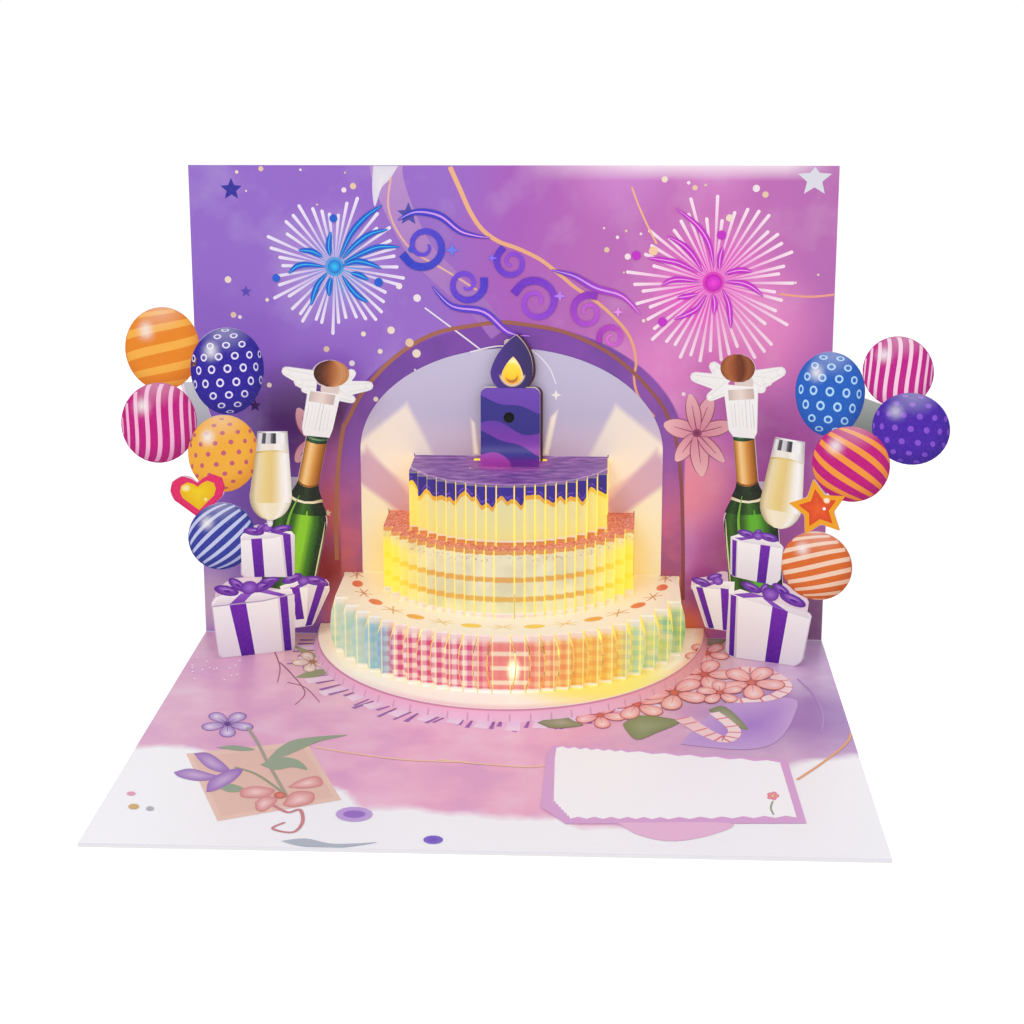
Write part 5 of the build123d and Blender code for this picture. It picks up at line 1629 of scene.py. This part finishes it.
# Small parts
def small_parts():
    foam = Paint("pad_foam", "f4f1e8", rough=0.9, grain=0.4)
    foam.over("d8d2c4", foam.rise(foam.noise(1.2, 3.0), 0.5, 0.8) * 0.5)
    # painted warm light from the lamps on the foam pad
    foam.shine("806a20", 0.5)
    dress(foam.done(), "module_pad")

    board = Paint("circuit_board", "1d5a34", rough=0.35, grain=0.0)
    tracks = board.bands(board.x + 100.0, 2.4, 0.25, 0.05) * board.bands(board.y + 100.0, 3.1, 0.6, 0.05)
    board.over("3f8f58", tracks)
    chip = board.below(board.length(board.x - 8.0, board.y - 56.0), 3.6)
    board.over("0c0c0d", board.above(board.z, BOARD + 0.86, 0.02) * chip)
    # painted warm light from the lamps on the boards
    board.shine("6e5820", 1.0)
    dress(board.done(), "sound_board", "candle_board")

    steel = Paint("cell_steel", "c9cacc", rough=0.28, metal=1.0, grain=0.02)
    brushed = steel.noise(0.5, 1.0, stretch=(0.15, 3.0, 1.0))
    steel.over("9fa1a5", steel.rise(brushed, 0.4, 0.7) * 0.4)
    dress(steel.done(), "battery_cell_1", "battery_cell_2", "battery_cell_3", "speaker")

    lamps = ["flame_led", *[f"tier_led_{n}" for n in range(1, 6)]]
    # the holder's glow is painted warm light from the lamps on the black plastic
    plain("holder_plastic", "141416", "26262a", 0.8, 0.4, "battery_holder", glow="a88a38",
          rough=0.4, grain=0.1)
    plain("microphone_face", "050406", "100c14", 0.6, 0.5, "microphone", rough=0.9)
    plain("contact_metal", "d8b66a", "b08a40", 1.4, 0.4, "battery_contact", "contact_leaf",
          rough=0.3, metal=1.0, grain=0.02)
    plain("tongue_film", "e9e7de", "cfccc0", 4.0, 0.4, "switch_tongue", "light_strip", rough=0.25, grain=0.0)
    plain("led_body", "ffe9a0", "fff8da", 1.0, 0.6, *lamps, glow="ffd860", rough=0.3, grain=0.0)
    plain("brace_card", "f0eef0", "dcd8de", 7.0, 0.4, "left_brace", "right_brace", rough=0.6, grain=0.15)


# Camera, floor and light
def photo_camera():
    camera = bpy.data.cameras.new("camera")
    camera.lens = FOCAL * SENSOR / PHOTO
    camera.sensor_width = SENSOR
    camera.clip_start = 0.01
    view = bpy.data.objects.new("camera", camera)
    rows = Matrix((camera_right, camera_up, -look)).transposed().to_4x4()
    view.matrix_world = Matrix.Translation(CAMERA * 0.001) @ rows
    bpy.context.scene.collection.objects.link(view)
    bpy.context.scene.camera = view


def seen_by(tree, *rays):
    """1 for the named kinds of ray, and 0 for all others."""
    path = tree.nodes.new("ShaderNodeLightPath")
    out = path.outputs[rays[0]]
    for ray in rays[1:]:
        most = tree.nodes.new("ShaderNodeMath")
        most.operation = "MAXIMUM"
        tree.links.new(out, most.inputs[0])
        tree.links.new(path.outputs[ray], most.inputs[1])
        out = most.outputs[0]
    return out


def pale_floor():
    """A plain floor that looks white to the camera and doesn't light the card from below."""
    floor = bpy.data.meshes.new("floor")
    floor.from_pydata([(-4, -4, 0), (4, -4, 0), (4, 4, 0), (-4, 4, 0)], [], [(0, 1, 2, 3)])
    ground = bpy.data.objects.new("floor", floor)
    ground.location.z = -0.0001
    bpy.context.scene.collection.objects.link(ground)
    paper = bpy.data.materials.new("floor")
    paper.use_nodes = True
    tree = paper.node_tree
    shader = tree.nodes["Principled BSDF"]
    shader.inputs["Base Color"].default_value = (0.86, 0.86, 0.86, 1)
    shader.inputs["Roughness"].default_value = 1.0
    shader.inputs["Specular IOR Level"].default_value = 0.0
    shader.inputs["Emission Color"].default_value = (1, 1, 1, 1)
    amount = tree.nodes.new("ShaderNodeMath")
    amount.operation = "MULTIPLY"
    amount.inputs[1].default_value = 0.47
    tree.links.new(seen_by(tree, "Is Camera Ray", "Is Glossy Ray"), amount.inputs[0])
    tree.links.new(amount.outputs[0], shader.inputs["Emission Strength"])
    paper.cycles.emission_sampling = "NONE"
    floor.materials.append(paper)


def white_world():
    """A white background that lights the card softly."""
    world = bpy.data.worlds.new("world")
    bpy.context.scene.world = world
    world.use_nodes = True
    tree = world.node_tree
    background = tree.nodes["Background"]
    background.inputs["Color"].default_value = (1, 1, 1, 1)
    level = tree.nodes.new("ShaderNodeMapRange")
    seen = seen_by(tree, "Is Camera Ray", "Is Glossy Ray", "Is Transmission Ray")
    tree.links.new(seen, level.inputs[0])
    level.inputs["To Min"].default_value = 0.62
    level.inputs["To Max"].default_value = 1.0
    tree.links.new(level.outputs[0], background.inputs["Strength"])


def soft_lights():
    for name, place, size, power in (
        ("key", (-0.5, -0.9, 1.2), 0.9, 7.0),
        ("fill", (0.8, -0.8, 0.8), 1.0, 3.0),
    ):
        lamp = bpy.data.lights.new(name, "AREA")
        lamp.size = size
        lamp.energy = power
        holder = bpy.data.objects.new(name, lamp)
        holder.location = place
        aim = Vector((0, 0, 0.06)) - Vector(place)
        holder.rotation_euler = aim.to_track_quat("-Z", "Y").to_euler()
        bpy.context.scene.collection.objects.link(holder)


wing_card()
left_wing()
right_wing()
candle()
cake()
page()
back_print()
back_foil()
arch_print()
base_print()
foot_print()
small_parts()
photo_camera()
pale_floor()
white_world()
soft_lights()
bpy.context.scene.view_settings.view_transform = "Standard"
